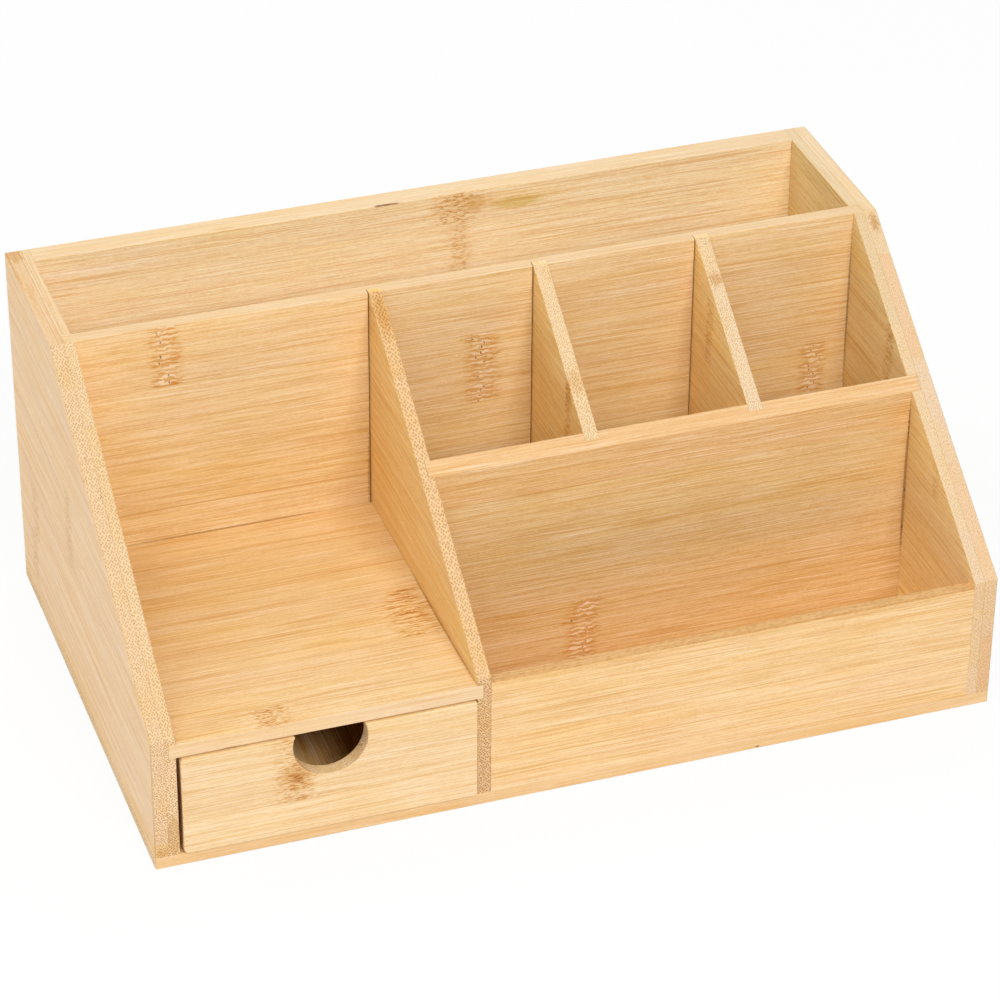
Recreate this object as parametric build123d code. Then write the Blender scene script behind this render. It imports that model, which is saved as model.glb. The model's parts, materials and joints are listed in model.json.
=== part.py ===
from build123d import *
import os

# Desk organizer made of laminated bamboo boards, with one drawer under a shelf.
#
# Two stepped sides stand on a full base. A rear divider runs from side to side in grooves and
# closes the rear compartment. A partition makes a bay at the left, with the drawer below and a
# shelf above it. To the right of the partition are three cells and a low front compartment.
# The dividers are let into grooves, glued, and planed flush with the sloping rim.
#
# Millimetres. +Z is up, -Y is the front, +X is the right. The origin is under the middle.

# ---- Outer size ----
overall_width = 350.0
overall_depth = 214.0
overall_height = 157.0
front_height = 60.0  # height of the sides where the slope starts, at the front

# ---- Boards ----
outer_board = 10.0  # sides and back
inner_board = 6.0  # dividers and front panel
partition_board = 5.6
shelf_board = 6.4
base_board = 5.5
drawer_front_board = 6.0
drawer_wall_board = 5.0  # sides and back of the drawer
drawer_bottom_board = 3.0

# ---- Compartments, clear inside ----
bay_width = 120.4  # bay with the drawer, at the left
rear_depth = 61.0  # compartment behind the rear divider
cell_depth = 61.0
cell_count = 3  # the cells share the width to the right of the partition
shelf_height = 57.5  # top of the shelf and of the front panel

# ---- Glued joints ----
side_groove = 4.0  # depth of the dividers' grooves in the sides
shelf_groove = 3.0  # depth of the shelf's groove in the left side
partition_groove = 2.5  # depth of the grooves in the partition, which has one on each face
divider_groove = 3.0  # depth of the grooves in the rear divider and the cross divider
glue_line = 0.12  # play of a tongue in its groove, shared by its two faces
loose_groove = 0.4  # extra width of the rear divider's grooves, at the left of each board

# ---- Drawer ----
drawer_gap_left = 1.3  # the drawer rides close to the partition
drawer_gap_right = 0.3
drawer_gap_top = 0.6
drawer_gap_below = 0.3
drawer_gap_behind = 0.3  # to the rear divider, which stops the drawer when it is shut
drawer_proud = 1.2  # how far the shut drawer's front stands out of the carcass
drawer_wall_drop = 6.0  # the sides and back below the top edge of the front
drawer_rabbet = 2.0  # depth of the rabbets for the drawer's sides, in its front
bottom_groove = 2.0  # depth of the groove round the drawer's bottom board
bottom_lift = 3.0  # underside of the bottom board above the edge of the drawer's sides
notch_diameter = 30.0
notch_below_top = 5.0  # centre of the finger notch below the drawer front's top edge

# ---- Rounded edges ----
edge_ease = 0.3  # hand-sanded edges
front_panel_ease = 0.5  # the front panel's top edges, which the hand passes over
front_corner_round = 0.8
rear_corner_round = 0.6
seam_ease = 0.15  # upper edges of the base, where the boards stand on it
drawer_left_round = 2.0  # corners of the drawer front's outline
drawer_right_round = 0.8

# ---- Screws through the base ----
screw_length = 20.0
screw_diameter = 3.0
screw_head_diameter = 6.0
screw_head_depth = 1.6
screw_point = 3.0  # length of the pointed end
screw_recess_width = 0.8
screw_recess_length = 3.2
screw_recess_depth = 1.0
screws_in_side = 2
screws_in_back = 3
side_screw_inset = 25.0  # end screws from the front and rear of a side
back_screw_inset = 45.0  # end screws from the ends of the back
screw_clearance = 0.1  # all round a screw

# ---- Brads in the drawer ----
brad_length = 15.0
brad_diameter = 1.4
brad_clearance = 0.05  # all round a brad
brad_edge_inset = 8.0  # side brads from the lower and upper edges of the drawer's back
bottom_brads = 3
bottom_brad_inset = 24.0  # end brads from the ends of the drawer's back

# ---- For the modelling itself ----
cut_past = 1.0  # how far a cutter runs out past a face
same_place = 0.1  # places nearer than this are taken as one

# ---- Places that follow from the sizes ----
left = -overall_width / 2
right = overall_width / 2
front = -overall_depth / 2
rear = overall_depth / 2
base_top = base_board

left_face = left + outer_board  # inner face of the left side
right_face = right - outer_board
back_face = rear - outer_board  # inner face of the back
divider_rear = back_face - rear_depth
divider_front = divider_rear - inner_board
cross_rear = divider_front - cell_depth
cross_front = cross_rear - inner_board
panel_rear = front + inner_board  # inner face of the front panel
partition_left = left_face + bay_width
partition_right = partition_left + partition_board
shelf_bottom = shelf_height - shelf_board
cell_width = (right_face - partition_right - (cell_count - 1) * inner_board) / cell_count
rim_slope = (overall_height - front_height) / (divider_front - front)

drawer_left = left_face + drawer_gap_left
drawer_right = partition_left - drawer_gap_right
drawer_lower = base_top + drawer_gap_below
drawer_upper = shelf_bottom - drawer_gap_top
drawer_rear = divider_front - drawer_gap_behind
drawer_face = front - drawer_proud  # outer face of the drawer front
drawer_front_rear = drawer_face + drawer_front_board  # its inner face
wall_left = drawer_left + drawer_wall_board  # inner faces of the drawer's sides
wall_right = drawer_right - drawer_wall_board
wall_top = drawer_upper - drawer_wall_drop
drawer_back_front = drawer_rear - drawer_wall_board  # inner face of the drawer's back
bottom_lower = drawer_lower + bottom_lift
bottom_upper = bottom_lower + drawer_bottom_board


# ---- Shapes that the pieces share ----
def block(x0, x1, y0, y1, z0, z1):
    """A square-edged board given by its six faces."""
    centre = Pos((x0 + x1) / 2, (y0 + y1) / 2, (z0 + z1) / 2)
    return centre * Box(x1 - x0, y1 - y0, z1 - z0)


def spread(first, last, count):
    """Evenly spaced places from the first to the last."""
    step = (last - first) / (count - 1)
    return [first + step * i for i in range(count)]


def rim_height(y):
    """Height of the rim at a depth: up the slope, then level to the back."""
    return min(overall_height, front_height + (y - front) * rim_slope)


def rim_board(x0, x1, y0, y1):
    """A board that stands on the base between two depths, cut to the rim above."""
    outline = [(y0, base_top), (y0, rim_height(y0))]
    if y0 < divider_front < y1:
        outline.append((divider_front, overall_height))
    outline += [(y1, rim_height(y1)), (y1, base_top)]
    face = make_face(Polyline(*outline, close=True))
    return Pos(x0, 0, 0) * extrude(Plane.YZ * face, x1 - x0)


def near(a, b):
    """Whether two places are one."""
    return abs(a - b) < same_place


def edges_at(solid, test):
    """The edges of a solid whose middle point passes a test."""
    return solid.edges().filter_by(lambda edge: test(edge.center()))


def ease_rim(solid, *faces):
    """Round the rim's long edges on the faces at the given x."""
    chosen = edges_at(
        solid,
        lambda p: any(near(p.X, x) for x in faces) and abs(p.Z - rim_height(p.Y)) < edge_ease,
    )
    return fillet(chosen, edge_ease)


def groove(board_min, board_max):
    """The two walls of a groove for a board, each a glue line away from it."""
    return board_min - glue_line / 2, board_max + glue_line / 2


# ---- Fasteners ----
def turned(*profile):
    """A solid turned about +Z from its outline, given as radius and height."""
    return revolve(make_face(Plane.XZ * Polyline(*profile, close=True)), Axis.Z)


def screw():
    """A countersunk screw along +Z with its cross recess, head at the origin."""
    shank = screw_diameter / 2
    neck = (shank, screw_head_depth)
    shoulder = (shank, screw_length - screw_point)
    solid = turned((0, 0), (screw_head_diameter / 2, 0), neck, shoulder, (0, screw_length))
    slot = Box(screw_recess_length, screw_recess_width, 2 * screw_recess_depth)
    return solid - slot - Rot(0, 0, 90) * slot


def screw_hole():
    """The countersunk hole for a screw, clear of it all round."""
    head = screw_head_diameter / 2 + screw_clearance
    shank = screw_diameter / 2 + screw_clearance
    neck_height = screw_head_depth + screw_clearance
    end = screw_length + screw_clearance
    return turned((0, 0), (head, 0), (shank, neck_height), (shank, end), (0, end))


def brad(clearance=0.0):
    """A brad along +Z from the origin, or the hole for it."""
    profile = Circle(brad_diameter / 2 + clearance)
    return extrude(profile, brad_length + clearance)


def screw_places():
    """Where the screws go in, under the middle of the sides and of the back."""
    board_middle = outer_board / 2
    along_side = spread(front + side_screw_inset, rear - side_screw_inset, screws_in_side)
    along_back = spread(left_face + back_screw_inset, right_face - back_screw_inset, screws_in_back)
    places = [Pos(left + board_middle, y, 0) for y in along_side]
    places += [Pos(right - board_middle, y, 0) for y in along_side]
    places += [Pos(x, rear - board_middle, 0) for x in along_back]
    return places


def brad_places():
    """Where the brads go in: through the drawer's sides and bottom, into its back."""
    back_middle = drawer_rear - drawer_wall_board / 2
    heights = (bottom_upper + brad_edge_inset, wall_top - brad_edge_inset)
    places = [Pos(drawer_left, back_middle, z) * Rot(0, 90, 0) for z in heights]
    places += [Pos(drawer_right, back_middle, z) * Rot(0, -90, 0) for z in heights]
    across = spread(wall_left + bottom_brad_inset, wall_right - bottom_brad_inset, bottom_brads)
    places += [Pos(x, back_middle, bottom_lower) for x in across]
    return places


def drill(solid, tool, places):
    """Cut the holes that touch a piece."""
    for place in places:
        solid = solid - place * tool
    return solid


# ---- Carcass ----
def base_panel():
    """The base: every board of the carcass stands on it."""
    panel = block(left, right, front, rear, 0, base_top)
    uprights = panel.edges().filter_by(Axis.Z)
    panel = fillet(uprights.filter_by(lambda e: near(e.center().Y, front)), front_corner_round)
    uprights = panel.edges().filter_by(Axis.Z)
    corners = uprights.filter_by(lambda e: near(e.center().Y, rear))
    panel = fillet(corners, rear_corner_round)
    panel = chamfer(edges_at(panel, lambda p: near(p.Z, 0)), edge_ease)
    panel = chamfer(edges_at(panel, lambda p: near(p.Z, base_top)), seam_ease)
    return drill(panel, screw_hole(), screw_places())


def side(outer, inner, ease_front):
    """A side: its inner edges are eased as far as the back, its outer ones all the way."""
    x0, x1 = min(outer, inner), max(outer, inner)
    board = rim_board(x0, x1, front, back_face)
    board = ease_rim(board, inner)
    if ease_front:
        board = fillet(edges_at(board, lambda p: near(p.X, inner) and near(p.Y, front)), edge_ease)
    board += block(x0, x1, back_face, rear, base_top, overall_height)
    board = fillet(edges_at(board, lambda p: near(p.X, outer) and near(p.Y, rear)), rear_corner_round)
    board = fillet(edges_at(board, lambda p: near(p.X, outer) and near(p.Y, front)), front_corner_round)
    return ease_rim(board, outer)


def divider_groove_in_side(face, depth, y0, y1):
    """The groove in a side for a divider, from the base up through the rim."""
    g0, g1 = groove(y0, y1)
    x0, x1 = min(face, face + depth), max(face, face + depth)
    return block(x0, x1, g0, g1, base_top - cut_past, overall_height + cut_past)


def left_side():
    """The left side, grooved for the rear divider and the shelf."""
    board = side(left, left_face, ease_front=True)
    board -= divider_groove_in_side(left_face, -side_groove, divider_front, divider_rear)
    z0, z1 = groove(shelf_bottom, shelf_height)
    board -= block(left_face - shelf_groove, left_face, front - cut_past, divider_front, z0, z1)
    return drill(board, screw_hole(), screw_places())


def right_side():
    """The right side, grooved for the rear divider and the cross divider."""
    board = side(right, right_face, ease_front=False)
    board -= divider_groove_in_side(right_face, side_groove, divider_front, divider_rear)
    board -= divider_groove_in_side(right_face, side_groove, cross_front, cross_rear)
    return drill(board, screw_hole(), screw_places())


def back_panel():
    """The back, butted between the sides."""
    x0, x1 = left_face + glue_line / 2, right_face - glue_line / 2
    panel = block(x0, x1, back_face, rear, base_top, overall_height)
    panel = fillet(panel.edges().filter_by(Axis.X).group_by(Axis.Z)[-1], edge_ease)
    return drill(panel, screw_hole(), screw_places())


def cell_divider_edges():
    """The left and right faces of each board between two cells."""
    edges = []
    for i in range(1, cell_count):
        x0 = partition_right + i * cell_width + (i - 1) * inner_board
        edges.append((x0, x0 + inner_board))
    return edges


def rear_divider():
    """The rear divider, let into both sides, grooved for the boards in front of it."""
    top_y = divider_front, divider_rear
    board = block(left_face, right_face, *top_y, base_top, overall_height)
    board = fillet(board.edges().filter_by(Axis.X).group_by(Axis.Z)[-1], edge_ease)
    tongue = side_groove - glue_line
    board += block(left_face - tongue, left_face, *top_y, base_top, overall_height)
    board += block(right_face, right_face + tongue, *top_y, base_top, overall_height)
    for x0, x1 in [(partition_left, partition_right), *cell_divider_edges()]:
        g0, g1 = groove(x0, x1)
        g0 -= loose_groove
        depth = divider_front + divider_groove
        board -= block(g0, g1, divider_front, depth, base_top - cut_past, overall_height + cut_past)
    return board


def bay_partition():
    """The partition, grooved for the shelf on its left and the cross divider on its right."""
    board = rim_board(partition_left, partition_right, front, divider_front)
    board = ease_rim(board, partition_left, partition_right)
    edge = edges_at(board, lambda p: near(p.X, partition_left) and near(p.Y, front))
    board = fillet(edge, edge_ease)
    tongue_end = divider_front + divider_groove - glue_line
    board += block(
        partition_left, partition_right, divider_front, tongue_end, base_top, overall_height
    )
    z0, z1 = groove(shelf_bottom, shelf_height)
    shelf_end = partition_left + partition_groove
    board -= block(partition_left, shelf_end, front - cut_past, divider_front, z0, z1)
    y0, y1 = groove(cross_front, cross_rear)
    cross_end = partition_right - partition_groove
    board -= block(cross_end, partition_right, y0, y1, base_top - cut_past, overall_height)
    return board


def cross_divider():
    """The cross divider, its top planed to the slope, grooved for the boards behind it."""
    board = rim_board(partition_right, right_face, cross_front, cross_rear)
    slanted_top = board.faces().sort_by(Axis.Z)[-1]
    board = fillet(slanted_top.edges().filter_by(Axis.X), edge_ease)
    left_end = partition_right - partition_groove + glue_line
    board += rim_board(left_end, partition_right, cross_front, cross_rear)
    board += rim_board(right_face, right_face + side_groove - glue_line, cross_front, cross_rear)
    for x0, x1 in cell_divider_edges():
        g0, g1 = groove(x0, x1)
        bottom = base_top - cut_past
        board -= block(g0, g1, cross_rear - divider_groove, cross_rear, bottom, overall_height)
    return board


def cell_divider(x0, x1):
    """A board between two cells, with a tongue at each end."""
    board = rim_board(x0, x1, cross_rear, divider_front)
    board = ease_rim(board, x0, x1)
    tongue = divider_groove - glue_line
    board += rim_board(x0, x1, cross_rear - tongue, cross_rear)
    board += block(x0, x1, divider_front, divider_front + tongue, base_top, overall_height)
    return board


def front_panel():
    """The low front of the front compartment, glued tight between the partition and the right side."""
    panel = block(partition_right, right_face, front, panel_rear, base_top, shelf_height)
    return fillet(panel.edges().filter_by(Axis.X).group_by(Axis.Z)[-1], front_panel_ease)


def drawer_shelf():
    """The shelf over the drawer, let into the left side and the partition."""
    y1 = divider_front - glue_line / 2
    shelf = block(left_face, partition_left, front, y1, shelf_bottom, shelf_height)
    shelf = fillet(shelf.edges().filter_by(Axis.X).group_by(Axis.Y)[0], edge_ease)
    left_end = left_face - shelf_groove + glue_line
    right_end = partition_left + partition_groove - glue_line
    shelf += block(left_end, left_face, front, y1, shelf_bottom, shelf_height)
    shelf += block(partition_left, right_end, front, y1, shelf_bottom, shelf_height)
    return shelf


# ---- Drawer ----
def drawer_front():
    """The drawer's front: round corners, a round finger notch, and rabbets for the sides."""
    width = drawer_right - drawer_left
    height = drawer_upper - drawer_lower
    middle = (drawer_left + drawer_right) / 2
    outline = Pos(middle, (drawer_lower + drawer_upper) / 2) * Rectangle(width, height)
    outline = fillet(outline.vertices().group_by(Axis.X)[0], drawer_left_round)
    outline = fillet(outline.vertices().group_by(Axis.X)[-1], drawer_right_round)
    outline -= Pos(middle, drawer_upper - notch_below_top) * Circle(notch_diameter / 2)
    board = extrude(Pos(0, drawer_front_rear, 0) * (Plane.XZ * outline), drawer_front_board)
    face = board.faces().sort_by(Axis.Y)[0]
    board = chamfer(face.edges(), edge_ease)
    y0, y1 = drawer_front_rear - drawer_rabbet, drawer_front_rear
    z0, z1 = drawer_lower - cut_past, wall_top + glue_line
    board -= block(drawer_left - cut_past, wall_left + glue_line, y0, y1, z0, z1)
    board -= block(wall_right - glue_line, drawer_right + cut_past, y0, y1, z0, z1)
    return board - bottom_board(glue_line / 2)


def drawer_wall(x0, x1):
    """A side of the drawer, from the rabbet in the front to the back."""
    y0 = drawer_front_rear - drawer_rabbet + glue_line
    wall = block(x0, x1, y0, drawer_rear, drawer_lower, wall_top)
    wall = fillet(wall.edges().filter_by(Axis.Y).group_by(Axis.Z)[-1], edge_ease)
    wall -= bottom_board(glue_line / 2)
    return drill(wall, brad(brad_clearance), brad_places())


def bottom_board(clearance=0.0):
    """The drawer's bottom board, or the groove for it."""
    reach = bottom_groove - glue_line + clearance
    return block(
        wall_left - reach,
        wall_right + reach,
        drawer_front_rear - reach,
        drawer_rear + clearance,
        bottom_lower - clearance,
        bottom_upper + clearance,
    )


def drawer_bottom():
    """The bottom, in grooves on three sides and under the back."""
    return drill(bottom_board(), brad(brad_clearance), brad_places())


def drawer_back():
    """The drawer's back, between the sides and on the bottom."""
    x0, x1 = wall_left + glue_line / 2, wall_right - glue_line / 2
    board = block(x0, x1, drawer_back_front, drawer_rear, bottom_upper, wall_top)
    board = fillet(board.edges().filter_by(Axis.X).group_by(Axis.Z)[-1], edge_ease)
    return drill(board, brad(brad_clearance), brad_places())


# ---- Every piece by its node's name ----
pieces = {
    "base_panel": base_panel(),
    "left_side": left_side(),
    "right_side": right_side(),
    "back_panel": back_panel(),
    "rear_divider": rear_divider(),
    "bay_partition": bay_partition(),
    "cross_divider": cross_divider(),
    "front_panel": front_panel(),
    "drawer_shelf": drawer_shelf(),
    "drawer_front": drawer_front(),
    "drawer_left_side": drawer_wall(drawer_left, wall_left),
    "drawer_right_side": drawer_wall(wall_right, drawer_right),
    "drawer_back": drawer_back(),
    "drawer_bottom": drawer_bottom(),
    "base_screws": Compound([place * screw() for place in screw_places()]),
    "drawer_brads": Compound([place * brad() for place in brad_places()]),
}
for number, (x0, x1) in enumerate(cell_divider_edges(), start=1):
    pieces[f"cell_divider_{number}"] = cell_divider(x0, x1)

os.makedirs("parts", exist_ok=True)
for name, piece in pieces.items():
    export_step(piece, f"parts/{name}.step")
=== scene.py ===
"""Looks of a bamboo desk organizer: laminated boards, a drawer, screws and brads, and a studio.

Lengths in the finishes and the sizes are in millimetres of the part's frame; MM turns them into metres.
"""

import json
import logging
import math
from collections.abc import Mapping, Sequence
from dataclasses import dataclass
from enum import Enum
from typing import Any

import bmesh
import bpy
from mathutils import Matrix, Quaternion, Vector

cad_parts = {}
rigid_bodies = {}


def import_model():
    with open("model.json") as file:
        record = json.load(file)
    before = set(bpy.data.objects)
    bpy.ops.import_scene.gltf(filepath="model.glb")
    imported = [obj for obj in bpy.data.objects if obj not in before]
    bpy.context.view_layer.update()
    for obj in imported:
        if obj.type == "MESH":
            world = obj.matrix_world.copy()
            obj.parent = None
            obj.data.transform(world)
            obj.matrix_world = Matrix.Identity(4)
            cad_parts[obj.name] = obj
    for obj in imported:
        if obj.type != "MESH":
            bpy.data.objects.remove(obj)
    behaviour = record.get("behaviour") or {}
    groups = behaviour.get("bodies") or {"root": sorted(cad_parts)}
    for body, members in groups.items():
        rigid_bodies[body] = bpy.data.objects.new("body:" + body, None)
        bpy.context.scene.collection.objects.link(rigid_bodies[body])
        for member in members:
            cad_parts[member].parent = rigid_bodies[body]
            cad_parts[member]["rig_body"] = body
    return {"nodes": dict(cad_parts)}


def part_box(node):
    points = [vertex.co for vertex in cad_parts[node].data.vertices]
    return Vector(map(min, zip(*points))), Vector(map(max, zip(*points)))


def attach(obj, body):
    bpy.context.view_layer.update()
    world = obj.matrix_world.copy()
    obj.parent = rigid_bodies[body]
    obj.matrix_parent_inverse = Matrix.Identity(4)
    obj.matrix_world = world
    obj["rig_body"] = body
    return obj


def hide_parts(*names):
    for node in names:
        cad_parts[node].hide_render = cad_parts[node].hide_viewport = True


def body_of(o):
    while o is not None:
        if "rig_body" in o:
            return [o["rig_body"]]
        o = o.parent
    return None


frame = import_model()

log = logging.getLogger("organizer")

MM = 0.001
PICTURE_WIDTH = 1000.0  # in pixels

Colour = tuple[float, float, float, float]
Shade = tuple[float, float, float]  # what a colour is multiplied by
Settings = Mapping[str, Any]
Inputs = Mapping[str | int, Any]

WHITE: Colour = (1.0, 1.0, 1.0, 1.0)


def srgb(red: int, green: int, blue: int) -> Colour:
    """Turns a colour as it is seen into the linear one that shaders use.

    Args:
        red, green, blue: The seen colour, each from 0 to 255.

    Returns:
        The linear colour with full alpha.
    """

    def linear(part: int) -> float:
        """One part of the colour, made linear."""
        share = part / 255
        return share / 12.92 if share <= 0.04045 else ((share + 0.055) / 1.055) ** 2.4

    return (linear(red), linear(green), linear(blue), 1.0)


# ---- Node trees ----
class Field:
    """A value that varies over a surface: one socket, with arithmetic."""

    def __init__(self, tree: "Tree", socket: bpy.types.NodeSocket) -> None:
        """Wraps one output socket of a tree."""
        self.tree = tree
        self.socket = socket

    def _math(self, operation: str, *terms: "Field | float") -> "Field":
        """Adds a Math node on the terms."""
        return self.tree.node("ShaderNodeMath", {"operation": operation}, dict(enumerate(terms)))

    def __add__(self, other: "Field | float") -> "Field":
        """This value and another, added."""
        return self._math("ADD", self, other)

    __radd__ = __add__

    def __sub__(self, other: "Field | float") -> "Field":
        """This value less another."""
        return self._math("SUBTRACT", self, other)

    def __rsub__(self, other: float) -> "Field":
        """A number less this value."""
        return self._math("SUBTRACT", other, self)

    def __mul__(self, other: "Field | float") -> "Field":
        """This value times another."""
        return self._math("MULTIPLY", self, other)

    __rmul__ = __mul__

    def __truediv__(self, other: "Field | float") -> "Field":
        """This value over another."""
        return self._math("DIVIDE", self, other)

    def __abs__(self) -> "Field":
        """This value without its sign."""
        return self._math("ABSOLUTE", self)

    def above(self, edge: "Field | float") -> "Field":
        """1 where the value is over the edge, else 0."""
        return self._math("GREATER_THAN", self, edge)

    def angle(self, other: "Field") -> "Field":
        """The angle of the point whose height is this value and whose run is the other."""
        return self._math("ARCTAN2", self, other)

    def part(self) -> "Field":
        """What is left of the value over a whole number."""
        return self._math("FRACT", self)

    def root(self) -> "Field":
        """The value's square root."""
        return self._math("SQRT", self)

    def is_near(self, other: float, reach: float = 0.5) -> "Field":
        """1 where the value lies within a reach of a number, else 0."""
        return self._math("COMPARE", self, other, reach)

    def larger(self, other: "Field | float") -> "Field":
        """The larger of two values."""
        return self._math("MAXIMUM", self, other)

    def smaller(self, other: "Field | float") -> "Field":
        """The smaller of two values."""
        return self._math("MINIMUM", self, other)

    def clamped(self) -> "Field":
        """The value, held between 0 and 1."""
        return self.smaller(1.0).larger(0.0)

    def rise(self, low: float, high: float) -> "Field":
        """Makes a smooth step of the value.

        Args:
            low, high: Where the step starts from 0 and where it comes to 1.

        Returns:
            The step.
        """
        return self.tree.node(
            "ShaderNodeMapRange",
            {"interpolation_type": "SMOOTHSTEP"},
            {0: self, 1: low, 2: high, 3: 0.0, 4: 1.0},
        )

    def output(self, name: str | int) -> "Field":
        """Another output of the same node."""
        return Field(self.tree, self.socket.node.outputs[name])


class Tree:
    """A node tree that one method fills."""

    def __init__(self, tree: bpy.types.NodeTree) -> None:
        """Takes an empty tree."""
        self.tree = tree

    def node(
        self, kind: str, settings: Settings | None = None, inputs: Inputs | None = None
    ) -> Field | None:
        """Adds a node.

        Args:
            kind: The node's type.
            settings: What is set on the node first. A ramp's stops are positions with colours.
            inputs: A number, a colour or a field for each named or numbered socket.

        Returns:
            The node's first output, or None where it has none.
        """
        made = self.tree.nodes.new(kind)
        for name, value in (settings or {}).items():
            if name == "stops":
                self._set_stops(made.color_ramp, value)
            else:
                setattr(made, name, value)
        for name, value in (inputs or {}).items():
            if isinstance(value, Field):
                self.tree.links.new(value.socket, made.inputs[name])
            else:
                made.inputs[name].default_value = value
        return Field(self, made.outputs[0]) if made.outputs else None

    @staticmethod
    def _set_stops(ramp: bpy.types.ColorRamp, stops: Sequence[tuple[float, Colour]]) -> None:
        """Gives a ramp hard steps.

        Args:
            ramp: The ramp, as Blender makes it.
            stops: The position and the colour of each step, in order.
        """
        ramp.interpolation = "CONSTANT"
        while len(ramp.elements) > 1:
            ramp.elements.remove(ramp.elements[-1])
        ramp.elements[0].position, ramp.elements[0].color = stops[0]
        for position, colour in stops[1:]:
            ramp.elements.new(position).color = colour


class Shader(Tree):
    """A material's tree, with the few nodes that every finish uses."""

    def __init__(self, name: str) -> None:
        """Makes a new material with an empty tree.

        Args:
            name: The material's name.
        """
        self.material = bpy.data.materials.new(name)
        self.material.use_nodes = True
        super().__init__(self.material.node_tree)
        self.tree.nodes.clear()

    def mix(
        self, factor: Field | float, first: Field | Colour, second: Field | Colour, blend: str = "MIX"
    ) -> Field:
        """Mixes or blends two colours.

        Args:
            factor: The share of the second one.
            first, second: The colours.
            blend: Blender's name of the way to blend them.

        Returns:
            The colour.
        """
        made = self.node(
            "ShaderNodeMix",
            {"data_type": "RGBA", "blend_type": blend},
            {0: factor, 6: first, 7: second},
        )
        return made.output(2)

    def shade(self, colour: Field, shade: Shade, factor: Field | float = 1.0) -> Field:
        """A colour multiplied by a shade, as far as the factor says."""
        return self.mix(factor, colour, (*shade, 1.0), "MULTIPLY")

    def point(self, x: Field | float, y: Field | float, z: Field | float) -> Field:
        """Three values as one vector."""
        return self.node("ShaderNodeCombineXYZ", inputs={0: x, 1: y, 2: z})

    def vector(self, operation: str, *terms: "Field | tuple[float, float, float]") -> Field:
        """Adds a Vector Math node on the terms."""
        return self.node("ShaderNodeVectorMath", {"operation": operation}, dict(enumerate(terms)))

    def noise(self, place: Field, detail: float = 2.0, roughness: float = 0.5) -> Field:
        """Cloudy noise.

        Args:
            place: Where to read it. A cloud is about one unit wide.
            detail: How many finer layers it has.
            roughness: How strong the finer layers are.

        Returns:
            The noise, from 0 to 1.
        """
        return self.node(
            "ShaderNodeTexNoise",
            inputs={"Vector": place, "Scale": 1.0, "Detail": detail, "Roughness": roughness},
        )

    def surface(self, inputs: Inputs) -> bpy.types.Material:
        """Ends the tree in a Principled shader.

        Args:
            inputs: Its inputs.

        Returns:
            The finished material.
        """
        shader = self.node("ShaderNodeBsdfPrincipled", inputs=inputs)
        self.node("ShaderNodeOutputMaterial", inputs={"Surface": shader})
        return self.material


# ---- Bamboo ----
class Axis(Enum):
    """A direction of the part's frame."""

    X = 0
    Y = 1
    Z = 2


class Tone(Enum):
    """How a strip of cane differs from its board's own colour, as a shade that multiplies it."""

    PALE = (1.04, 1.06, 1.12)
    HONEY = (1.0, 1.0, 1.0)
    GOLD = (0.985, 0.965, 0.90)
    AMBER = (0.965, 0.92, 0.80)
    ROSY = (0.98, 0.965, 0.98)
    OLIVE = (0.94, 0.935, 0.86)
    RUSSET = (0.985, 0.905, 0.84)


PLAIN: Shade = (1.0, 1.0, 1.0)
FIBRE_SHADE: Shade = (0.84, 0.68, 0.48)  # how a dense fibre multiplies the strip's colour
PALE_FIBRE_SHADE: Shade = (1.04, 1.10, 1.32)
WHITE_FIBRE: Colour = srgb(252, 230, 200)
BUNDLE_SHADE: Shade = (0.62, 0.48, 0.30)  # the same for a bundle that is cut across
PITH_SHADE: Shade = (1.05, 1.10, 1.24)  # the pale ground between the bundles
MAUVE_SHADE: Shade = (0.985, 0.97, 1.0)
ORANGE_SHADE: Shade = (1.0, 0.965, 0.87)
MAUVE_STEP, ORANGE_STEP = (0.45, 0.7), (0.3, 0.5)  # the drift at which each starts and is full
DRIFT_LENGTH, DRIFT_WIDTH = 70.0, 14.0  # the size of one cloud of hue, in millimetres
ARRIS_SHADE: Shade = (0.94, 0.82, 0.60)
GLUE_SHADE: Shade = (0.80, 0.70, 0.52)  # a tight glue line between two strips
KNUCKLE_SHADE: Shade = (0.92, 0.86, 0.74)
FLAME_SHADE: Shade = (0.86, 0.58, 0.27)
CORE_SHADE: Shade = (0.72, 0.60, 0.45)
PORE_SHADE: Shade = (0.40, 0.22, 0.10)
MOTTLE_SHADE: Shade = (0.84, 0.80, 0.70)
MOTTLE_STEP = (0.42, 0.62)  # the noise at which a patch starts and at which it is full
OLIVE_SHADE: Shade = (0.81, 0.75, 0.47)
BROWN_SHADE: Shade = (0.62, 0.48, 0.32)
# A dark nick; it also draws a glue line with painted shade in the rear divider's right corner.
NICK_AND_PAINTED_SHADE: Shade = (0.20, 0.12, 0.06)
LENS_PITCH = 2.3  # how far apart a joint's lenses lie, in millimetres
LENS_BEND = 4.0  # how far those rows wander, in millimetres
LENS_STAGGER = 0.5  # how far the lenses lie off the joint's middle, in shares of its reach
LENS_SPAN = (0.35, 0.75)  # where they end along the grain, in the same shares
LENS_EDGE = (0.2, 0.65)  # where they end across the grain, 0 being their middle and 1 the gap
FLAME_GAP, FLAME_PLACE = 0.3, 0.45  # how near the middle flames come, and where along the grain
FLECK_WAVE = 2.4  # how far the rows of flecks wander, in shares of a fleck's width
WHITEST = 0.97  # no part of a strip's colour is over this
MEAN_DENSITY = 0.45  # the mean share of FIBRE_SHADE over a face
MEAN_BUNDLES = 0.38  # the mean share of BUNDLE_SHADE over an end
ARRIS_STRENGTH = 0.6
ARRIS_STEP = (0.03, 0.25)  # how far a face is turned from all flat ones to count as an arris
STRIP_SPAN = 300.0  # how far apart the strips of a board read their noises, in millimetres
GLUE_HALF_WIDTH = 0.16  # in millimetres
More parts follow.
